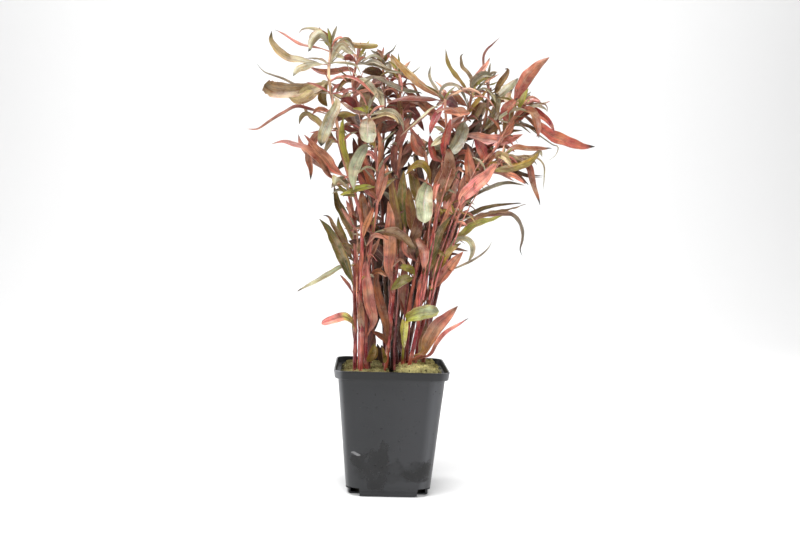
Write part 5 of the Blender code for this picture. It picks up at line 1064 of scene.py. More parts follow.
# A mesh that many strips are joined into. Each corner has a tone and a second one for its mottles;
# each vertex says how far along and across its strip it is, which strip it belongs to, how dry it is,
# whether it is on a node, and its painted shade, the share of light taken to reach it.
class Build:
    def __init__(self):
        self.points, self.faces, self.tones, self.mottles, self.slots = [], [], [], [], []
        names = ("lengthwise", "crosswise", "leafSeed", "dryTip", "nodeRing", "lit")
        self.marks = {name: [] for name in names}

    # rings of points joined into a closed skin, with a cap at each end
    def skin(self, rings, marks, toneAt, slot, mottleAt=None):
        mottleAt = mottleAt or toneAt
        start, count = len(self.points), len(rings[0])
        for k, ring in enumerate(rings):
            self.points.extend(ring)
            for name, values in self.marks.items():
                value = marks.get(name, 0.0)
                values.extend([value(k, j) for j in range(count)] if callable(value) else [value] * count)
        first = len(self.faces)
        last = start + (len(rings) - 1) * count
        for k in range(len(rings) - 1):
            low, high = start + k * count, start + (k + 1) * count
            for j in range(count):
                near = (j + 1) % count
                self.faces.append((low + j, high + j, high + near, low + near))
        self.faces.append(tuple(range(start, start + count)))
        self.faces.append(tuple(reversed(range(last, last + count))))
        for values, valueAt in ((self.tones, toneAt), (self.mottles, mottleAt)):
            for k in range(len(rings) - 1):
                for j in range(count):
                    early, late = valueAt(k, j), valueAt(k + 1, j)
                    values.extend((early, late, late, early))
            values.extend([valueAt(0, 0)] * count + [valueAt(len(rings) - 1, 0)] * count)
        self.slots.extend([slot] * (len(self.faces) - first))

    def piece(self, name, materials):
        mesh = bpy.data.meshes.new(name)
        mesh.from_pydata([tuple(point) for point in self.points], [], self.faces)
        for material in materials:
            mesh.materials.append(material)
        mesh.polygons.foreach_set("material_index", self.slots)
        for mark, values in self.marks.items():
            layer = mesh.attributes.new(mark, "FLOAT", "POINT")
            layer.data.foreach_set("value", np.array(values, np.float32))
        for layer, values in (("tone", self.tones), ("mottle", self.mottles)):
            colours = np.ones((len(values), 4), np.float32)
            colours[:, :3] = values
            mesh.attributes.new(layer, "FLOAT_COLOR", "CORNER").data.foreach_set("color", colours.ravel())
        mesh.shade_smooth()
        mesh.set_sharp_from_angle(angle=math.radians(62))
        return linked(name, mesh)


def linked(name, data):
    made = bpy.data.objects.new(name, data)
    bpy.context.scene.collection.objects.link(made)
    return made


# the piece moves with the body and stands for the CAD's node, which is hidden
def dress(piece, node):
    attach(piece, "root")
    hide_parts(node)


def mixed(a, b, share):
    return tuple(p + (q - p) * share for p, q in zip(a, b))


def smooth(low, high, value):
    share = max(0.0, min(1.0, (value - low) / (high - low)))
    return share * share * (3 - 2 * share)


# painted shade: leaves and stems darken the deeper they stand in the plant, less near the top; in mm and
# shares
shading = {
    "front": -14, "back": 22, "most": 0.84, "light": 335, "dark": 250, "behind": (24, 42), "lighter": 0.5,
    "rim": 100, "halfAtRim": 30, "widens": 0.25, "middle": 5, "aside": (0.75, 1.15), "open": 0.75,
    "high": 0.35,
}


def shadeAt(place):
    s = shading
    x, y, z = (part / mm for part in place)
    deep = smooth(s["front"], s["back"], y)
    deep *= 1 - s["lighter"] * smooth(*s["behind"], y)
    half = max(s["halfAtRim"], s["halfAtRim"] + s["widens"] * (z - s["rim"]))
    deep *= 1 - s["open"] * smooth(*s["aside"], abs(x - s["middle"]) / half)
    low = s["high"] + (1 - s["high"]) * smooth(s["light"], s["dark"], z)
    return 1 - s["most"] * deep * low


# Leaves: how each fine blade is ringed, folded, waved and dried, in metres and shares
blade = {
    "across": (-1, -0.8, -0.5, -0.2, 0, 0.2, 0.5, 0.8, 1), "ringSpacing": 0.0015, "fewestRings": 12,
    "narrow": 0.0034, "narrowAcross": (-1, -0.55, 0, 0.55, 1),
    "mostRings": 40, "thickness": 0.00036, "petioleThickness": 0.0009, "tipWidth": 0.0003,
    "rib": 0.00026, "groove": 0.00020, "fold": (0.10, 0.34), "backFolded": 0.3, "twist": 16,
    "wave": (0.02, 0.085), "waveLength": (0.008, 0.019), "uneven": 0.10, "wander": 0.0007,
    "rootInside": 0.0004, "dryFrom": 0.90, "curl": 0.55, "fullness": 1.0, "shade": (0.72, 1.40),
    "dry": (0.0, 0.2, 0.6, 1.0), "bodyFrom": (0.05, 0.22), "ragged": 0.05, "raggedFrom": (0.7, 0.95),
    "ribWidth": 0.13, "change": (0.1, 0.8), "spotted": 0.8,
}
# for each tone that of a leaf's other side, red for a green leaf, and that of its blotches
partners = {
    "sage": ("mauve", "olive"), "tan": ("mauve", "olive"), "golden": ("rust", "olive"),
    "olive": ("rust", "golden"), "green": ("crimson", "golden"), "lime": ("paleLime", "olive"),
    "grey": ("mauve", "tan"), "brown": ("maroon", "olive"), "rust": ("olive", "brown"),
    "salmon": ("sage", "rust"), "pink": ("sage", "salmon"), "mauve": ("sage", "rust"),
    "crimson": ("olive", "rust"), "maroon": ("green", "brown"), "shadow": ("shadow", "brown"),
    "paleLime": ("sage", "lime"), "palePink": ("sage", "pink"), "coral": ("rust", "rust"),
    "oxblood": ("olive", "brown"),
}


# tone at the base and at the tip of leaves that change along their length, and how dry their tip is
def looks(base, tip, dry, **more):
    return {"base": base, "tip": tip, "dry": dry, **more}


leafLooks = {
    "leaf_left_top_pink": looks("mauve", "mauve", 1.0, thin=0.55),
    "leaf_left_top_tan": looks("grey", "tan", 0.8, light=0.85),
    "leaf_left_golden": looks("tan", "tan", 0.5, square=True, ragged=0.30, mottle="golden", light=1.2),
    "leaf_left_sage_hanging": looks("sage", "grey", 1.0),
    "leaf_left_sage_blunt": looks("brown", "greyGreen", 0.0, mottle="grey"),
    "leaf_left_sage_middle": looks("greyGreen", "greyGreen", 0.0, mottle="sage"),
    "leaf_left_low_sage": looks("greyGreen", "sage", 0.8),
    "leaf_left_low_pink": looks("paleLime", "pink", 0.1, change=(0.48, 0.56), mottle="mauve", blunt=True),
    "leaf_right_lime_folded": looks("lime", "greyGreen", 0.1, mottle="lime", light=1.35),
    "leaf_middle_lime": looks("lime", "lime", 0.1),
    "leaf_left_olive_tall": looks("olive", "green", 0.3),
    "leaf_left_crimson_arch": looks("crimson", "rust", 0.3),
    "leaf_right_lime_long": looks("lime", "lime", 0.4, mottle="tan"),
    "leaf_right_top_crimson": looks("coral", "coral", 0.1),
    "leaf_right_far_salmon": looks("rust", "coral", 1.0, change=(0.1, 0.4)),
    "leaf_right_rust_long": looks("salmon", "golden", 0.6),
    "leaf_right_pink_drooping": looks("salmon", "grey", 1.0, change=(0.45, 0.75), thin=0.75),
    "leaf_right_rust_drooping": looks("coral", "rust", 1.0),
    "leaf_right_low_salmon": looks("golden", "salmon", 0.5, change=(0.2, 0.6)),
    "leaf_right_mauve_level": looks("pink", "pink", 0.1, light=1.25),
    "leaf_right_pink_broad": looks("pink", "pink", 0.1, light=1.15),
    "leaf_top_golden_long": looks("rust", "golden", 0.4, mottle="sage"),
    "leaf_top_golden_hooked": looks("golden", "golden", 0.8),
    "leaf_left_salmon_long": looks("rust", "salmon", 0.4),
    "leaf_left_far_pink": looks("mauve", "mauve", 0.1, thin=0.8),
    "leaf_middle_sage_hanging": looks("greyGreen", "greyGreen", 0.1, mottle="sage"),
}


# the leaf's line without the step that the CAD's petiole makes: it leaves the stem towards its first point
def fineStations(leaf):
    towards = leaf["line"][2] - leaf["centre"]
    line = [leaf["centre"] + towards.normalized() * blade["rootInside"]] + leaf["line"][2:]
    route = Route(line, steps=20)
    rings = round(route.length / blade["ringSpacing"])
    rings = max(blade["fewestRings"], min(blade["mostRings"], rings))
    stations = []
    for k in range(rings):
        even = k / (rings - 1)
        share = even - 0.05 * math.sin(math.tau * even)
        along = route.direction(route.length * share)
        after = min(max(1, bisect.bisect_left(leaf["shares"], share)), len(leaf["shares"]) - 1)
        low, high = leaf["shares"][after - 1], leaf["shares"][after]
        normal = leaf["normals"][after - 1].lerp(leaf["normals"][after], (share - low) / (high - low))
        normal = (normal - along * normal.dot(along)).normalized()
        stations.append((share, route.at(route.length * share), along, normal))
    return stations, route.length


def growBlade(build, leaf, draw):
    b = blade
    look = leafLooks.get(leaf["name"], {})
    seed = draw.uniform(0, 100)
    shade = draw.uniform(*b["shade"])
    fold = draw.uniform(*b["fold"]) * (-1 if draw.random() < b["backFolded"] else 1)
    twist = math.radians(draw.uniform(-b["twist"], b["twist"]))
    phases = draw.uniform(0, math.tau), draw.uniform(0, math.tau)
    wave, waveLength = draw.uniform(*b["wave"]), draw.uniform(*b["waveLength"])
    dry = look.get("dry", draw.choice(b["dry"]))
    stations, length = fineStations(leaf)
    columns = b["across" if leaf["width"] > b["narrow"] else "narrowAcross"]
    rings = []
    for share, centre, along, normal in stations:
        wide = leafWidth(share, leaf["width"] * look.get("thin", b["fullness"]),
                         look.get("blunt", leaf["blunt"]), growth["petioleWidth"], b["tipWidth"],
                         look.get("square", False))
        torn = look.get("ragged", b["ragged"]) * smooth(*b["raggedFrom"], share)
        body = smooth(*b["bodyFrom"], share)
        normal = Matrix.Rotation(twist * body * math.cos(math.pi * share), 3, along) @ normal
        side = normal.cross(along)
        wander = noise.noise(Vector((seed, share * 3, 7))) * b["wander"] * body * (1 - share)
        curl = b["curl"] * dry * smooth(b["dryFrom"], 1.0, share)
        thick = b["petioleThickness"] + (b["thickness"] - b["petioleThickness"]) * body
        thick = min(thick, wide * 0.7)
        halves = []
        for hand in (0, 1):
            uneven = b["uneven"] * noise.noise(Vector((seed, share * 6, 20 * hand)))
            tear = torn * noise.noise(Vector((seed, share * 40, 50 * hand)))
            halves.append(wide / 2 * (1 + uneven + tear))
        upper, lower = [], []
        for u in columns:
            far = abs(u)
            turn = length * share / waveLength * math.tau + phases[u > 0]
            lift = (fold * far ** 1.25 + curl * far ** 2) * wide * body
            lift += wave * wide * body * far * far * math.sin(turn)
            bump = math.exp(-(u / b["ribWidth"]) ** 2) * body
            half = thick * (1 - 0.75 * far * far) / 2
            flat = centre + side * (u * halves[u > 0] * (1 - 0.25 * curl) + wander)
            upper.append(flat + normal * (lift + half - b["groove"] * bump))
            lower.append(flat + normal * (lift - half - b["rib"] * bump * (1 - share)))
        rings.append(upper + lower[-2:0:-1])
    front = tones[look.get("base", leaf["tone"])]
    tip = tones[look.get("tip", leaf["tone"])]
    otherSide, mottle = partners[leaf["tone"]]
    spots = tones[look.get("mottle", mottle)]
    change = look.get("change", b["change"])
    back = tones[otherSide]
    shade *= leaf["shade"] * look.get("light", 1.0)
    # painted shade: darker deeper inside the plant
    shades = [shade * shadeAt(centre) for share, centre, along, normal in stations]

    def toneAt(k, j):
        tone = mixed(front, tip, smooth(*change, stations[k][0])) if j < len(columns) - 1 else back
        return tuple(part * shades[k] for part in tone)

    def mottleAt(k, j):
        near, far = (mixed(tone, spots, b["spotted"]) for tone in (front, tip))
        tone = mixed(near, far, smooth(*change, stations[k][0]))
        return tuple(part * shades[k] for part in (tone if j < len(columns) - 1 else back))

    around = list(columns) + list(columns[-2:0:-1])
    marks = {"lengthwise": lambda k, j: stations[k][0], "crosswise": lambda k, j: around[j],
             "leafSeed": seed, "dryTip": dry, "lit": lambda k, j: shadeAt(stations[k][1])}
    build.skin(rings, marks, toneAt, 0, mottleAt)


def makeLeafPiece(leaf, draw):
    build = Build()
    growBlade(build, leaf, draw)
    dress(build.piece(leaf["name"].replace("leaf", "blade"), [leafMaterial]), leaf["name"])


# Small leaves past those of the CAD. Pairs stand at the nodes inside the plant, behind the traced
# leaves and the stems and never in front of them; tufts stand at the shoots' tips and in the axils.
sprigs = {
    "nodeStep": (0.010, 0.016), "attempts": 4, "sag": (0.0, 0.6), "uprightBelow": 240, "uprightShare": 0.75,
    "clearLeaf": 0.0042, "clearStem": 0.0022, "behind": 0.001, "front": -0.040, "back": 0.046,
    "tones": ("rust", "maroon", "rust", "brown", "olive", "crimson", "brown", "salmon", "salmon", "mauve"),
    "pair": {"lean": (18, 62), "length": (20, 44), "width": (3.6, 7.4), "turn": 50},
    "upright": {"lean": (4, 22), "length": (32, 62), "width": (4.5, 8.5), "turn": 50},
    "tuft": {"count": 7, "lean": (8, 55), "length": (7, 19), "width": (1.5, 3.2), "sag": (0, 0.7),
             "turn": 60, "tones": ("paleLime", "sage", "lime", "pink", "palePink", "sage", "tan")},
    "axil": {"count": 4, "lean": (25, 85), "length": (8, 26), "width": (1.0, 2.8), "sag": (0, 0.7),
             "turn": 60, "tones": ("sage", "sage", "mauve", "rust", "olive", "pink"), "above": 205},
    "twig": {"count": 5, "lean": (15, 60), "length": (12, 26), "width": (2.2, 4.6), "sag": (0, 0.8),
             "turn": 50},
}
sprigs["twig"]["tones"] = sprigs["tones"] + sprigs["axil"]["tones"]


def sprigLeaf(centre, line, width, turn, tone, shade):
    route = Route(line)
    shares = [0.0, 0.25, 0.5, 0.75, 1.0]
    places = [route.at(route.length * share) for share in shares]
    alongs = [route.direction(route.length * share) for share in shares]
    widths = [leafWidth(share, width, False, 0, 0) for share in shares]
    turns = [turn * (1 - 0.4 * share) for share in shares]
    return {"name": None, "width": width, "tone": tone, "blunt": False, "shade": shade, "centre": centre,
            "line": [centre, centre] + line[1:], "shares": shares,
            "normals": bladeNormals(places, alongs, turns, widths)}


# a line that leans away from the stem and sags towards its tip
def sprigLine(stem, distance, azimuth, lean, length, sag):
    along, across, back = axesOf(stem.route, distance)
    centre = stem.route.at(distance)
    heading = turned(along, turned(across, back, azimuth), lean)
    middle = centre + heading * length * 0.5
    tip = middle + (heading + Vector((0, 0, -1)) * sag * 1.5).normalized() * length * 0.5
    return [centre, middle, tip]


# a young leaf on a rod, drawn from the ranges of its kind
def youngLeaf(rod, distance, azimuth, kind, draw):
    s = sprigs[kind]
    lean = math.radians(draw.uniform(*s["lean"]))
    azimuth += draw.uniform(-0.5, 0.5)
    line = sprigLine(rod, distance, azimuth, lean, draw.uniform(*s["length"]) * mm, draw.uniform(*s["sag"]))
    width = draw.uniform(*s["width"]) * mm
    return sprigLeaf(line[0], line, width, draw.uniform(-s["turn"], s["turn"]), draw.choice(s["tones"]), 1.0)


# the samples as they lie side by side from the front
def frontTree(samples):
    return treeOf([(x * mm, 0, z * mm) for x, z in map(seenAt, samples)])


# true if this line passes in front of none of the samples, as seen from the front
def staysBehind(line, tree, samples, reach):
    for k in range(1, 9):
        spot = line[0].lerp(line[1], k / 4) if k <= 4 else line[1].lerp(line[2], (k - 4) / 4)
        x, z = seenAt(spot)
        for _, index, _ in tree.find_range((x * mm, 0, z * mm), reach):
            if samples[index].y > spot.y - sprigs["behind"] and k > 1:
                return False
    return True


# each of the small leaves grows from the stem that stands nearest to its first point
def growSmallLeaves(stems, draw):
    for width, tone, depth, points in smallLeaves:
        points = inPairs(points)
        reaches = []
        for stem in stems.values():
            for stop in stem.stops[::3]:
                reaches.append((math.dist(seenAt(stem.route.at(stop)), points[0]), stem, stop))
        stem, stop = min(reaches, key=lambda reach: reach[0])[1:]
        centre = stem.route.at(stop)
        line = [centre]
        for k, (x, z) in enumerate(points):
            place = inView(x, z, centre.y / mm + depth * (k + 1) / len(points))
            if (place - centre).length > 0.004:
                line.append(place)
        stem.sprigs.append(sprigLeaf(centre, line, width * mm, draw.uniform(-30, 30), tone, 1.1))


def growSprigs(stems, draw):
    s = sprigs
    leafSamples, stemSamples = [], []
    for stem in stems.values():
        stemSamples += [stem.route.at(stem.route.length * k / 60) for k in range(61)]
        for leaf in stem.leaves:
            route = Route(leaf["line"])
            leafSamples += [route.at(route.length * k / 12) for k in range(2, 13)]
    leafTree, stemTree = frontTree(leafSamples), frontTree(stemSamples)
    count = 0
    for stem in stems.values():
        grown = []
        distance, azimuth = growth["rootDepth"] + 0.012, draw.uniform(0, math.tau)
        while distance < stem.route.length - 0.02:
            low = seenAt(stem.route.at(distance))[1] < s["uprightBelow"]
            kind = s["upright" if low and draw.random() < s["uprightShare"] else "pair"]
            for attempt in range(s["attempts"]):
                lean = math.radians(draw.uniform(*kind["lean"]))
                length = draw.uniform(*kind["length"]) * mm
                sag = draw.uniform(*s["sag"])
                towards = azimuth + math.pi * attempt + draw.uniform(-0.5, 0.5)
                line = sprigLine(stem, distance, towards, lean, length, sag)
                inside = all(insideOutline(*seenAt(place), bodyOutline) for place in line[1:])
                deep = all(s["front"] < place.y < s["back"] for place in line)
                if inside and deep and staysBehind(line, leafTree, leafSamples, s["clearLeaf"]) and (
                        staysBehind(line, stemTree, stemSamples, s["clearStem"])):
                    width = draw.uniform(*kind["width"]) * mm
                    turn = draw.uniform(-kind["turn"], kind["turn"])
                    grown.append(sprigLeaf(line[0], line, width, turn, draw.choice(s["tones"]), 0.95))
            distance += draw.uniform(*s["nodeStep"])
            azimuth += math.pi / 2
        # tuft of young leaves at the tip, and small ones in the axils of the upper nodes
        places = [(stem.route.length - 0.0005, "tuft")] * s["tuft"]["count"]
        for band in stem.bands:
            if seenAt(stem.route.at(band["distance"]))[1] > s["axil"]["above"]:
                places += [(band["distance"], "axil")] * s["axil"]["count"]
        for k, (distance, kind) in enumerate(places):
            grown.append(youngLeaf(stem, distance, k * 2.4, kind, draw))
        stem.sprigs = grown
        growTwigs(stem, draw)
        for twig, k in itertools.product(stem.twigs, range(s["twig"]["count"])):
            distance = twig.route.length * (1 - 0.16 * (k // 2) - 0.001)
            grown.append(youngLeaf(twig, distance, k * 2.6, "twig", draw))
        count += len(grown)
    growSmallLeaves(stems, draw)
    print("small leaves past those of the CAD:", count + len(smallLeaves))
    print("side shoots:", sum(len(stem.twigs) for stem in stems.values()))


# Stems, with the leaves that are fused to them
stemShape = {
    "sides": 12, "ringSpacing": 0.0014, "fullness": 0.96, "swell": 0.30, "swellReach": 0.0017,
    "wander": 0.06, "ridge": 0.05, "shaded": 0.7, "shade": (0.75, 1.12), "tipRound": 0.0016,
}
# tone at the foot, half way up and at the top
stemTones = {
    "stem_left_tall": ((0.27, 0.030, 0.028), (0.38, 0.090, 0.064), (0.70, 0.46, 0.29)),
    "stem_left_outer": ((0.21, 0.026, 0.024), (0.27, 0.058, 0.040), (0.40, 0.15, 0.10)),
    "twig": ((0.42, 0.078, 0.062), (0.54, 0.155, 0.115), (0.62, 0.30, 0.20)),
    "other": ((0.32, 0.032, 0.030), (0.46, 0.100, 0.072), (0.58, 0.25, 0.17)),
    "pink": ((0.52, 0.13, 0.12), (0.60, 0.20, 0.17), (0.62, 0.27, 0.21)),
    "crimson": ((0.32, 0.030, 0.036), (0.38, 0.050, 0.050), (0.42, 0.10, 0.085)),
    "mauve": ((0.22, 0.045, 0.050), (0.26, 0.070, 0.065), (0.30, 0.10, 0.085)),
    "dark": ((0.12, 0.018, 0.018), (0.13, 0.030, 0.022), (0.16, 0.050, 0.032)),
    "brown": ((0.055, 0.020, 0.012), (0.07, 0.028, 0.013), (0.10, 0.045, 0.018)),
}
# thin side shoots that climb beside a stem: between which heights they leave it, how far aside they end
twigs = {
    "leave": (112, 235), "rise": (45, 100), "aside": (5.0, 13.0), "radius": (0.50, 0.85),
    "attempts": 6, "shortest": 0.03,
    "count": {"stem_right_tall": 3, "stem_right_lower": 4, "stem_right_outer": 4, "stem_right_inner": 3,
              "stem_centre_front": 2, "stem_centre_back": 2, "stem_left_centre": 2, "stem_left_back": 2,
              "stem_back_middle": 2, "stem_back_right": 2},
    # those that rise out of the wool close beside a stem
    "atFoot": 2, "footRise": (70, 150), "footAside": (2.4, 6.0), "footRadius": (0.8, 1.35),
    "angle": (0.3, 2.8), "tones": ("twig", "twig", "crimson", "mauve", "dark"),
}


# a side shoot, which has all that growStem and sprigLine ask of a stem
class Twig:
    def __init__(self, tone, points, radius):
        self.name, self.bands, self.thick = tone, [], radius
        self.route = Route(points, steps=12)
        self.fine = self.route

    def radius(self, distance):
        return self.thick * (1 - 0.45 * distance / self.route.length)


# a side shoot that climbs beside the stem, behind it or to its side
def twigBeside(stem, start, end, aside, radius, draw):
    angle = draw.uniform(*twigs["angle"])
    points = []
    for k in range(6):
        share = k / 5
        distance = start + (end - start) * share
        along, across, back = axesOf(stem.route, distance)
        outward = turned(across, back, angle)
        points.append(stem.route.at(distance) + outward * aside * math.sin(share * math.pi / 2))
    return Twig(draw.choice(twigs["tones"]), points, radius)


def growTwigs(stem, draw):
    stem.twigs, stem.handSet = [], []
    top = stem.route.length
    for k in range(twigs["atFoot"]):
        start = growth["rootDepth"] - 0.004
        end = start + draw.uniform(*twigs["footRise"]) * mm
        aside = draw.uniform(*twigs["footAside"]) * mm
        twig = twigBeside(stem, start, end, aside, draw.uniform(*twigs["footRadius"]) * mm, draw)
        if all(sprigs["front"] < place.y < sprigs["back"] for place in twig.route.samples):
            stem.twigs.append(twig)
    for k in range(twigs["count"].get(stem.name, 0)):
        for attempt in range(twigs["attempts"]):
            start = stem.distanceAtHeight(draw.uniform(*twigs["leave"]))
            end = min(top - 0.004, start + draw.uniform(*twigs["rise"]) * mm)
            if end - start < twigs["shortest"]:
                continue
            twig = twigBeside(stem, start, end, draw.uniform(*twigs["aside"]) * mm,
                              draw.uniform(*twigs["radius"]) * mm, draw)
            inside = all(insideOutline(*seenAt(place), bodyOutline) for place in twig.route.samples[::6])
            deep = all(sprigs["front"] < place.y < sprigs["back"] for place in twig.route.samples)
            if inside and deep:
                stem.twigs.append(twig)
                break
    for radius, tone, depth, points in handShoots.get(stem.name, ()):
        stem.handSet.append(Twig(tone, [inView(x, z, depth) for x, z in inPairs(points)], radius * mm))


def growStem(build, stem, draw):
    seed = draw.uniform(0, 100)
    phase = draw.uniform(0, math.tau)
    s = stemShape
    shade = draw.uniform(*s["shade"])
    route = stem.fine
    count = round(route.length / s["ringSpacing"])
    sides = s["sides"]
    rings, swells, shares = [], [], []
    for k in range(count + 1):
        share = k / count
        distance = route.length * share
        along, across, back = axesOf(route, distance)
        swell = 0.0
        for band in stem.bands:
            gap = distance - band["distance"] * route.length / stem.route.length
            swell = max(swell, math.exp(-(gap / s["swellReach"]) ** 2))
        radius = stem.radius(share * stem.route.length) * s["fullness"]
        radius *= 1 + s["swell"] * swell
        radius *= 1 + s["wander"] * noise.noise(Vector((seed, distance * 90, 0)))
        radius *= math.sqrt(max(0.02, 1 - smooth(route.length - s["tipRound"], route.length, distance) ** 2))
        centre = route.at(distance)
        ring = []
        for j in range(sides):
            angle = -math.tau * j / sides
            ridged = radius * (1 + s["ridge"] * math.sin(angle * 4 + phase))
            ring.append(centre + turned(across, back, angle) * ridged)
        rings.append(ring)
        swells.append(swell)
        shares.append(share)
    foot, middle, top = stemTones.get(stem.name, stemTones["other"])

    def toneAt(k, j):
        share = shares[k]
        tone = mixed(foot, middle, share * 2) if share < 0.5 else mixed(middle, top, share * 2 - 1)
        # painted shade: darker deeper inside the plant
        deep = 1 - (1 - shadeAt(rings[k][0])) * s["shaded"]
        return tuple(part * shade * deep for part in tone)

    marks = {"lengthwise": lambda k, j: shares[k], "crosswise": lambda k, j: j / sides,
             "leafSeed": seed, "dryTip": 0.0, "nodeRing": lambda k, j: swells[k]}
    build.skin(rings, marks, toneAt, 1)


def makeStemPiece(stem, draw):
    build = Build()
    for rod in [stem] + stem.twigs + stem.handSet:
        growStem(build, rod, draw)
    for leaf in stem.leaves + stem.sprigs:
        if leaf["name"] is None:
            growBlade(build, leaf, draw)
    dress(build.piece(stem.name.replace("stem", "shoot"), [leafMaterial, stemMaterial]), stem.name)


# Pot: a hollow square shell with a lip and four notches at the foot
potShape = {
    "rim": 0.090, "foot": 0.067, "height": 0.100, "wall": 0.0013, "lip": 0.0065, "overhang": 0.0034,
    "rimCorner": 0.010, "footCorner": 0.014, "footHeight": 0.005, "footInset": 0.0016,
    "cornerSteps": 10, "sideSteps": 12, "round": 0.0007, "wallRings": 18, "bow": 0.0004,
    "notchWidth": 0.0105, "notchFlare": 0.0015, "notchHeight": 0.0068,
    "drops": 46, "dropSize": (0.0003, 0.0009), "dropHeight": (0.012, 0.090), "dropSpread": 0.78,
}


def squareRing(width, corner, height, bow=0.0):
    half = width / 2 - corner
    ring = []
    for quarter in range(4):
        turn = Matrix.Rotation(math.pi / 2 * quarter, 2)
        places = []
        for k in range(potShape["cornerSteps"] + 1):
            angle = math.pi / 2 * k / potShape["cornerSteps"]
            places.append(Vector((half + math.cos(angle) * corner, half + math.sin(angle) * corner)))
        for k in range(1, potShape["sideSteps"]):
            share = k / potShape["sideSteps"]
            hollow = bow * (1 - (2 * share - 1) ** 2)
            places.append(Vector((half - 2 * half * share, half + corner - hollow)))
        ring.extend(Vector((*(turn @ place), height)) for place in places)
    return ring


# width, corner radius, height and inward bow of each ring, up the outside and down the inside
def potLevels():
    p = potShape
    rim, height, wall, low, bend = p["rim"], p["height"], p["wall"], p["footHeight"], p["round"]
    corner, footCorner = p["rimCorner"], p["footCorner"]
    wallTop = rim - 2 * p["overhang"]
    foot = p["foot"] - 2 * p["footInset"]
    lip = height - p["lip"]
    levels = [(foot - 4 * bend, footCorner - bend, 0.0, 0), (foot - bend, footCorner, bend * 0.3, 0),
              (foot, footCorner, bend, 0), (foot, footCorner, low - bend, 0),
              (p["foot"] - bend, footCorner, low - bend * 0.4, 0)]
    for k in range(p["wallRings"] + 1):
        share = k / p["wallRings"]
        levels.append((p["foot"] + (wallTop - p["foot"]) * share,
                       footCorner + (corner * 0.92 - footCorner) * share,
                       low + (lip - low - bend) * share, p["bow"] * math.sin(math.pi * share)))
    levels += [(wallTop + bend, corner, lip - bend * 0.2, 0), (rim - 3.4 * bend, corner, lip, 0),
               (rim - 2 * bend, corner, lip + bend, 0), (rim - bend * 0.4, corner, height - bend * 1.4, 0),
               (rim, corner, height - bend * 0.8, 0), (rim - bend * 0.6, corner, height - bend * 0.1, 0),
               (rim - 2 * wall + bend * 0.6, corner - wall, height, 0),
               (rim - 2 * wall, corner - wall, height - bend * 0.8, 0)]
    return levels + [(rim - 2 * bend - 2 * wall, corner - wall, lip + wall + bend, 0),
                     (wallTop - 2 * wall, corner * 0.92 - wall, lip + wall, 0),
                     (p["foot"] - 2 * wall, footCorner - wall, low + wall, 0),
                     (foot - 2 * wall, footCorner - wall, low - bend, 0),
                     (foot - 2 * wall, footCorner - wall, wall, 0)]


# half-round drops of water that cling to the outside, most on the front
def addDrops(builder, draw):
    p = potShape
    for k in range(p["drops"]):
        size = draw.uniform(*p["dropSize"])
        quarter = 0 if k % 3 else draw.choice((1, 2, 3))
        z = draw.uniform(*p["dropHeight"])
        share = (z - p["footHeight"]) / (p["height"] - p["lip"] - p["footHeight"])
        half = (p["foot"] + (p["rim"] - 2 * p["overhang"] - p["foot"]) * share) / 2
        x = draw.uniform(-p["dropSpread"], p["dropSpread"]) * (half - p["rimCorner"])
        made = bmesh.ops.create_icosphere(builder, subdivisions=2, radius=size)["verts"]
        bow = p["bow"] * math.sin(math.pi * share) * (1 - (x / half) ** 2)
        for vertex in made:
            co = vertex.co
            place = Vector((x + co.x, -half + bow + co.y * 0.45, z + co.z * 1.15 - max(0, -co.z) * 0.3))
            vertex.co = Matrix.Rotation(math.pi / 2 * quarter, 3, "Z") @ place


def makePot(draw):
    p = potShape
    builder = bmesh.new()
    rings = [[builder.verts.new(point) for point in squareRing(*level)] for level in potLevels()]
    count = len(rings[0])
    outer = len(rings) - 6
    for level, (before, after) in enumerate(zip(rings, rings[1:])):
        for k in range(count):
            face = builder.faces.new([before[k], before[(k + 1) % count], after[(k + 1) % count], after[k]])
            face.material_index = int(level >= outer)
    builder.faces.new(list(reversed(rings[0])))
    builder.faces.new(rings[-1]).material_index = 1
    pot = newObject("nursery_pot", builder, potMaterial)
    pot.data.materials.append(potInsideMaterial)
    builder = bmesh.new()
    outside = p["foot"] / 2 + p["notchWidth"]
    for turnX, turnY in itertools.product((-1, 1), (-1, 1)):
        for vertex in bmesh.ops.create_cube(builder, size=1)["verts"]:
            top = vertex.co.z > 0
            inside = p["foot"] / 2 - p["notchWidth"] - (0 if top else p["notchFlare"])
            x, y = (outside if part > 0 else inside for part in vertex.co.xy)
            vertex.co = Vector((x * turnX, y * turnY, p["notchHeight"] if top else -p["notchHeight"]))
    cutter = newObject("notch_cutter", builder, potMaterial)
    cut = pot.modifiers.new("notches", "BOOLEAN")
    cut.operation, cut.solver, cut.object = "DIFFERENCE", "EXACT", cutter
    bpy.context.view_layer.update()
    whole = bpy.data.meshes.new_from_object(pot.evaluated_get(bpy.context.evaluated_depsgraph_get()))
    pot.modifiers.clear()
    bpy.data.objects.remove(cutter)
    builder = bmesh.new()
    builder.from_mesh(whole)
    addDrops(builder, draw)
    builder.to_mesh(pot.data)
    builder.free()
    pot.data.shade_smooth()
    pot.data.set_sharp_from_angle(angle=math.radians(50))
    dress(pot, "pot")
    print("pot:", len(pot.data.polygons), "faces")


def newObject(name, builder, material):
    mesh = bpy.data.meshes.new(name)
    bmesh.ops.recalc_face_normals(builder, faces=builder.faces)
    builder.to_mesh(mesh)
    builder.free()
    mesh.materials.append(material)
    return linked(name, mesh)


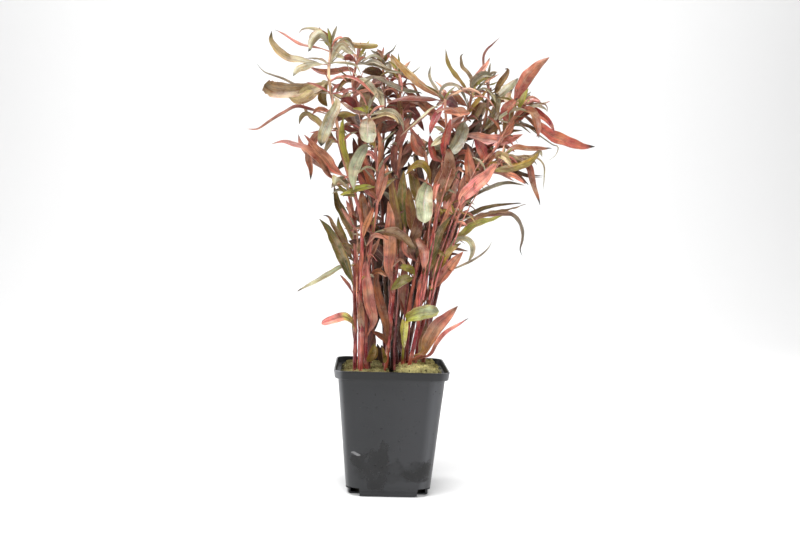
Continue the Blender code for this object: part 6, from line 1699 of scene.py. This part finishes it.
# Rock wool: each plug is a lumpy block with its top finely divided, covered with curled fibres
woolShape = {
    "plugs": {
        "wool_front_left": ((-0.0196, -0.0197), (0.0372, 0.0365), 0.0985),
        "wool_front_right": ((0.0212, -0.0197), (0.0330, 0.0365), 0.1030),
        "wool_back_left": ((-0.0196, 0.0197), (0.0372, 0.0365), 0.0985),
        "wool_back_right": ((0.0212, 0.0197), (0.0330, 0.0365), 0.1010),
    },
    "taper": 0.80, "clearance": 0.0004, "footCorner": 0.024, "floor": 0.0017, "topCells": 54,
    "sideLevels": 16, "dome": 0.0035, "edgeRound": 0.0022, "lumps": 0.0011, "grain": 0.0005,
    "fibres": 900, "fibreLength": (0.003, 0.010), "fibreRadius": (0.00006, 0.00012), "fibreSteps": 6,
    # painted shade: near black at the foot, and darker on the left
    "tone": (0.50, 0.44, 0.185), "paintedFootShade": (0.012, 0.010, 0.006), "leftShade": 0.60,
    "fibreTones": ((0.78, 0.72, 0.34), (0.30, 0.20, 0.07)), "fibreShade": (0.6, 1.25),
    "fibreTilt": (-0.15, 0.45), "fibreDroop": 0.16, "lumpScale": 160, "grainScale": 900,
    "footShadeRings": (1.5, 6.5),
}


def keepInPot(x, y, height):
    p, clear = potShape, woolShape["clearance"]
    foot = p["foot"] / 2 - p["wall"] - clear
    top = p["rim"] / 2 - p["overhang"] - p["wall"] - clear
    share = max(0.0, min(1.0, (height - p["footHeight"]) / (p["height"] - p["lip"] - p["footHeight"])))
    half = foot + (top - foot) * share - (p["footInset"] if height < p["footHeight"] else 0)
    corner = woolShape["footCorner"] + (p["rimCorner"] - woolShape["footCorner"]) * share
    inX, inY = min(abs(x), half), min(abs(y), half)
    past = Vector((inX - (half - corner), inY - (half - corner)))
    if past.x > 0 and past.y > 0 and past.length > corner:
        past = past.normalized() * corner
        inX, inY = half - corner + past.x, half - corner + past.y
    return math.copysign(inX, x), math.copysign(inY, y)


# the plug's surface where u and v go from -1 to 1, and share from 0 at the foot to 1 at the crown
def plugPoint(plug, u, v, share, seed):
    w = woolShape
    (x, y), (width, depth), crown = plug
    scale = w["taper"] + (1 - w["taper"]) * share
    far = max(abs(u), abs(v))
    place = Vector((x * scale + u * width / 2 * scale, y * scale + v * depth / 2 * scale, 0))
    place.z = w["floor"] + share * (crown - w["floor"])
    broad, fine = ([part * w[key] for part in place] for key in ("lumpScale", "grainScale"))
    lump = noise.fractal(Vector((broad[0] + seed, broad[1], broad[2])), 0.9, 2.0, 4)
    grain = noise.noise(Vector((fine[0], fine[1] + seed, fine[2])))
    inward = 1 - (w["lumps"] * (0.6 + abs(lump)) + w["grain"] * abs(grain)) / (width / 2)
    corner = 1 - 0.10 * (abs(u) * abs(v)) ** 2
    place.x = x * scale + u * width / 2 * scale * inward * corner
    place.y = y * scale + v * depth / 2 * scale * inward * corner
    if share >= 1:
        edge = max(0.0, 1 - (1 - far) * width / 2 / w["edgeRound"])
        place.z -= w["dome"] * far * far + w["edgeRound"] * 0.5 * edge * edge
        place.z += w["lumps"] * (lump - 0.35) + w["grain"] * grain
    place.x, place.y = keepInPot(place.x, place.y, place.z)
    return place


def growFibre(build, start, draw, seed, bright):
    w = woolShape
    length, radius = draw.uniform(*w["fibreLength"]), draw.uniform(*w["fibreRadius"])
    heading, bend = draw.uniform(0, math.tau), draw.gauss(0, 0.5)
    tilt = draw.uniform(*w["fibreTilt"])
    place = start.copy()
    shade = draw.uniform(*w["fibreShade"]) * bright
    tone = mixed(*w["fibreTones"], draw.random() ** 2.2)
    tone = tuple(part * shade for part in tone)
    rings = []
    step = length / w["fibreSteps"]
    for k in range(w["fibreSteps"] + 1):
        level = math.cos(tilt)
        along = Vector((math.cos(heading) * level, math.sin(heading) * level, math.sin(tilt)))
        across = along.orthogonal().normalized()
        back = along.cross(across)
        thin = radius * (1 - 0.6 * abs(2 * k / w["fibreSteps"] - 1))
        rings.append([place + turned(across, back, -math.tau * j / 3) * thin for j in range(3)])
        place = place + along * step
        place.x, place.y = keepInPot(place.x, place.y, place.z)
        heading += bend
        tilt -= w["fibreDroop"]
    marks = {"lengthwise": 0.5, "crosswise": 0.0, "leafSeed": seed}
    build.skin(rings, marks, lambda k, j: tone, 0)


def makePlug(node, draw):
    w = woolShape
    plug = w["plugs"][node]
    seed = draw.uniform(0, 100)
    build = Build()
    cells = w["topCells"]
    edge = [(-1 + 2 * k / cells, -1) for k in range(cells)] + [(1, -1 + 2 * k / cells) for k in range(cells)]
    edge += [(1 - 2 * k / cells, 1) for k in range(cells)] + [(-1, 1 - 2 * k / cells) for k in range(cells)]
    rings = []
    for level in range(w["sideLevels"]):
        share = 1 - (1 - level / w["sideLevels"]) ** 2
        rings.append([plugPoint(plug, u, v, share, seed) for u, v in edge])
    for ring in range(cells // 2):
        inner = 1 - 2 * ring / cells
        rings.append([plugPoint(plug, u * inner, v * inner, 1, seed) for u, v in edge])
    rings = [list(reversed(ring)) for ring in rings]
    marks = {"leafSeed": seed}
    # painted shade: the left plugs are darker, and each plug darkens to near black at its foot
    shade = w["leftShade"] if plug[0][0] < 0 else 1.0
    top = tuple(part * shade for part in w["tone"])
    build.skin(rings, marks, lambda k, j: mixed(w["paintedFootShade"], top, smooth(*w["footShadeRings"], k)), 0)
    for k in range(w["fibres"]):
        u, v = draw.uniform(-0.97, 0.97), draw.uniform(-0.97, 0.97)
        growFibre(build, plugPoint(plug, u, v, 1, seed), draw, seed, shade)
    dress(build.piece(node + "_fibrous", [woolMaterial]), node)


# Studio: a pale sweep, a soft overcast light all round, and large soft boxes
studio = {
    "sweep": (0.74, 0.74, 0.74), "floorFront": -2.2, "floorBack": 1.0, "sweepRadius": 0.9, "top": 2.6,
    "halfWidth": 2.6, "world": 0.07, "horizon": 0.8, "glow": 0.10,
    # name: where, where it points, width and height, watts
    "lights": {
        "softbox top": ((-0.15, -0.50, 1.55), (0, 0.05, 0.15), (0.75, 0.75), 29),
        "softbox front": ((0.15, -1.55, 1.05), (0, 0, 0.2), (0.6, 0.6), 8.5),
        "softbox right": ((1.15, -1.05, 0.75), (0, 0, 0.2), (0.6, 0.6), 3),
        "softbox left": ((-1.25, -0.85, 0.85), (0, 0, 0.2), (0.6, 0.6), 5),
        "strip left": ((-0.95, 0.18, 0.30), (0, 0, 0.12), (0.16, 0.9), 6),
        "strip right": ((0.95, 0.10, 0.30), (0, 0, 0.12), (0.12, 0.9), 3),
        "backdrop": ((0.0, 0.55, 1.7), (0, 1.9, 0.6), (1.6, 1.6), 26),
    },
}


def makeSweep():
    s = studio
    paper = newMaterial("sweep paper", Specular_IOR_Level=0.1, Roughness=0.9, Base_Color=(*s["sweep"], 1),
                        Emission_Color=(1, 1, 1, 1), Emission_Strength=s["glow"]).owner
    line = [(s["floorFront"], 0.0), (s["floorBack"], 0.0)]
    for k in range(1, 25):
        angle = math.pi / 2 * k / 24
        line.append((s["floorBack"] + s["sweepRadius"] * math.sin(angle),
                     s["sweepRadius"] * (1 - math.cos(angle))))
    line.append((s["floorBack"] + s["sweepRadius"], s["top"]))
    builder = bmesh.new()
    sides = [[builder.verts.new((x, y, z)) for y, z in line] for x in (-s["halfWidth"], s["halfWidth"])]
    for k in range(len(line) - 1):
        builder.faces.new([sides[0][k], sides[1][k], sides[1][k + 1], sides[0][k + 1]])
    sweep = newObject("sweep", builder, paper)
    sweep.data.shade_smooth()


def makeLights():
    world = bpy.data.worlds.new("studio")
    room = Nodes(world, "Background", Color=(1, 1, 1, 1), Strength=studio["world"])
    # past the paper, where only a camera that stands elsewhere looks, the room is pale too
    horizon = room.add("Background", {"Strength": studio["horizon"]}).outputs[0]
    seen = room.add("LightPath").outputs["Is Camera Ray"]
    both = room.add("MixShader", {0: seen, 1: room.shader.outputs[0], 2: horizon}).outputs[0]
    room.put(both, room.tree.nodes["World Output"].inputs["Surface"])
    bpy.context.scene.world = world
    for name, (place, target, size, watts) in studio["lights"].items():
        light = bpy.data.lights.new(name, "AREA")
        light.shape, light.energy = "RECTANGLE", watts
        light.size, light.size_y = size
        made = linked(name, light)
        made.location = place
        made.rotation_euler = (Vector(target) - Vector(place)).to_track_quat("-Z", "Y").to_euler()


def makeCamera():
    turn, down, roll = (math.radians(shot[key]) for key in ("turnRight", "lookDown", "roll"))
    ahead = Vector((math.sin(turn) * math.cos(down), math.cos(turn) * math.cos(down), -math.sin(down)))
    right = Vector((math.cos(turn), -math.sin(turn), 0))
    up = right.cross(ahead)
    rolledRight = right * math.cos(roll) + up * math.sin(roll)
    rolledUp = up * math.cos(roll) - right * math.sin(roll)
    data = bpy.data.cameras.new("camera")
    data.sensor_width, data.lens = 36, shot["lens"]
    data.clip_start, data.clip_end = 0.01, 20
    camera = linked("camera", data)
    facing = Matrix((rolledRight, rolledUp, -ahead)).transposed().to_4x4()
    camera.matrix_world = Matrix.Translation(eye) @ facing
    bpy.context.scene.camera = camera


def setView():
    view = bpy.context.scene.view_settings
    view.view_transform, view.look = "Standard", "None"
    view.exposure, view.gamma = 0.0, 1.0


leafMaterial, stemMaterial = makeLeafMaterial(), makeStemMaterial()
potMaterial, potInsideMaterial, woolMaterial = makePotMaterial(), makePotInsideMaterial(), makeWoolMaterial()
stems = {name: Stem(name, points) for name, points in stemLines.items()}
trees = {name: treeOf([corner.co for corner in node.data.vertices]) for name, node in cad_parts.items()}
findTracedLeaves(stems, trees)
findHiddenLeaves(stems, trees)
draw = random.Random(23)
growSprigs(stems, draw)
makePot(draw)
for node in woolShape["plugs"]:
    makePlug(node, draw)
print("wool: 4 plugs")
for stem in stems.values():
    makeStemPiece(stem, draw)
    for leaf in stem.leaves:
        if leaf["name"]:
            makeLeafPiece(leaf, draw)
print("stems:", len(stems), "leaves:", sum(len(stem.leaves) for stem in stems.values()))
makeSweep()
makeLights()
makeCamera()
setView()
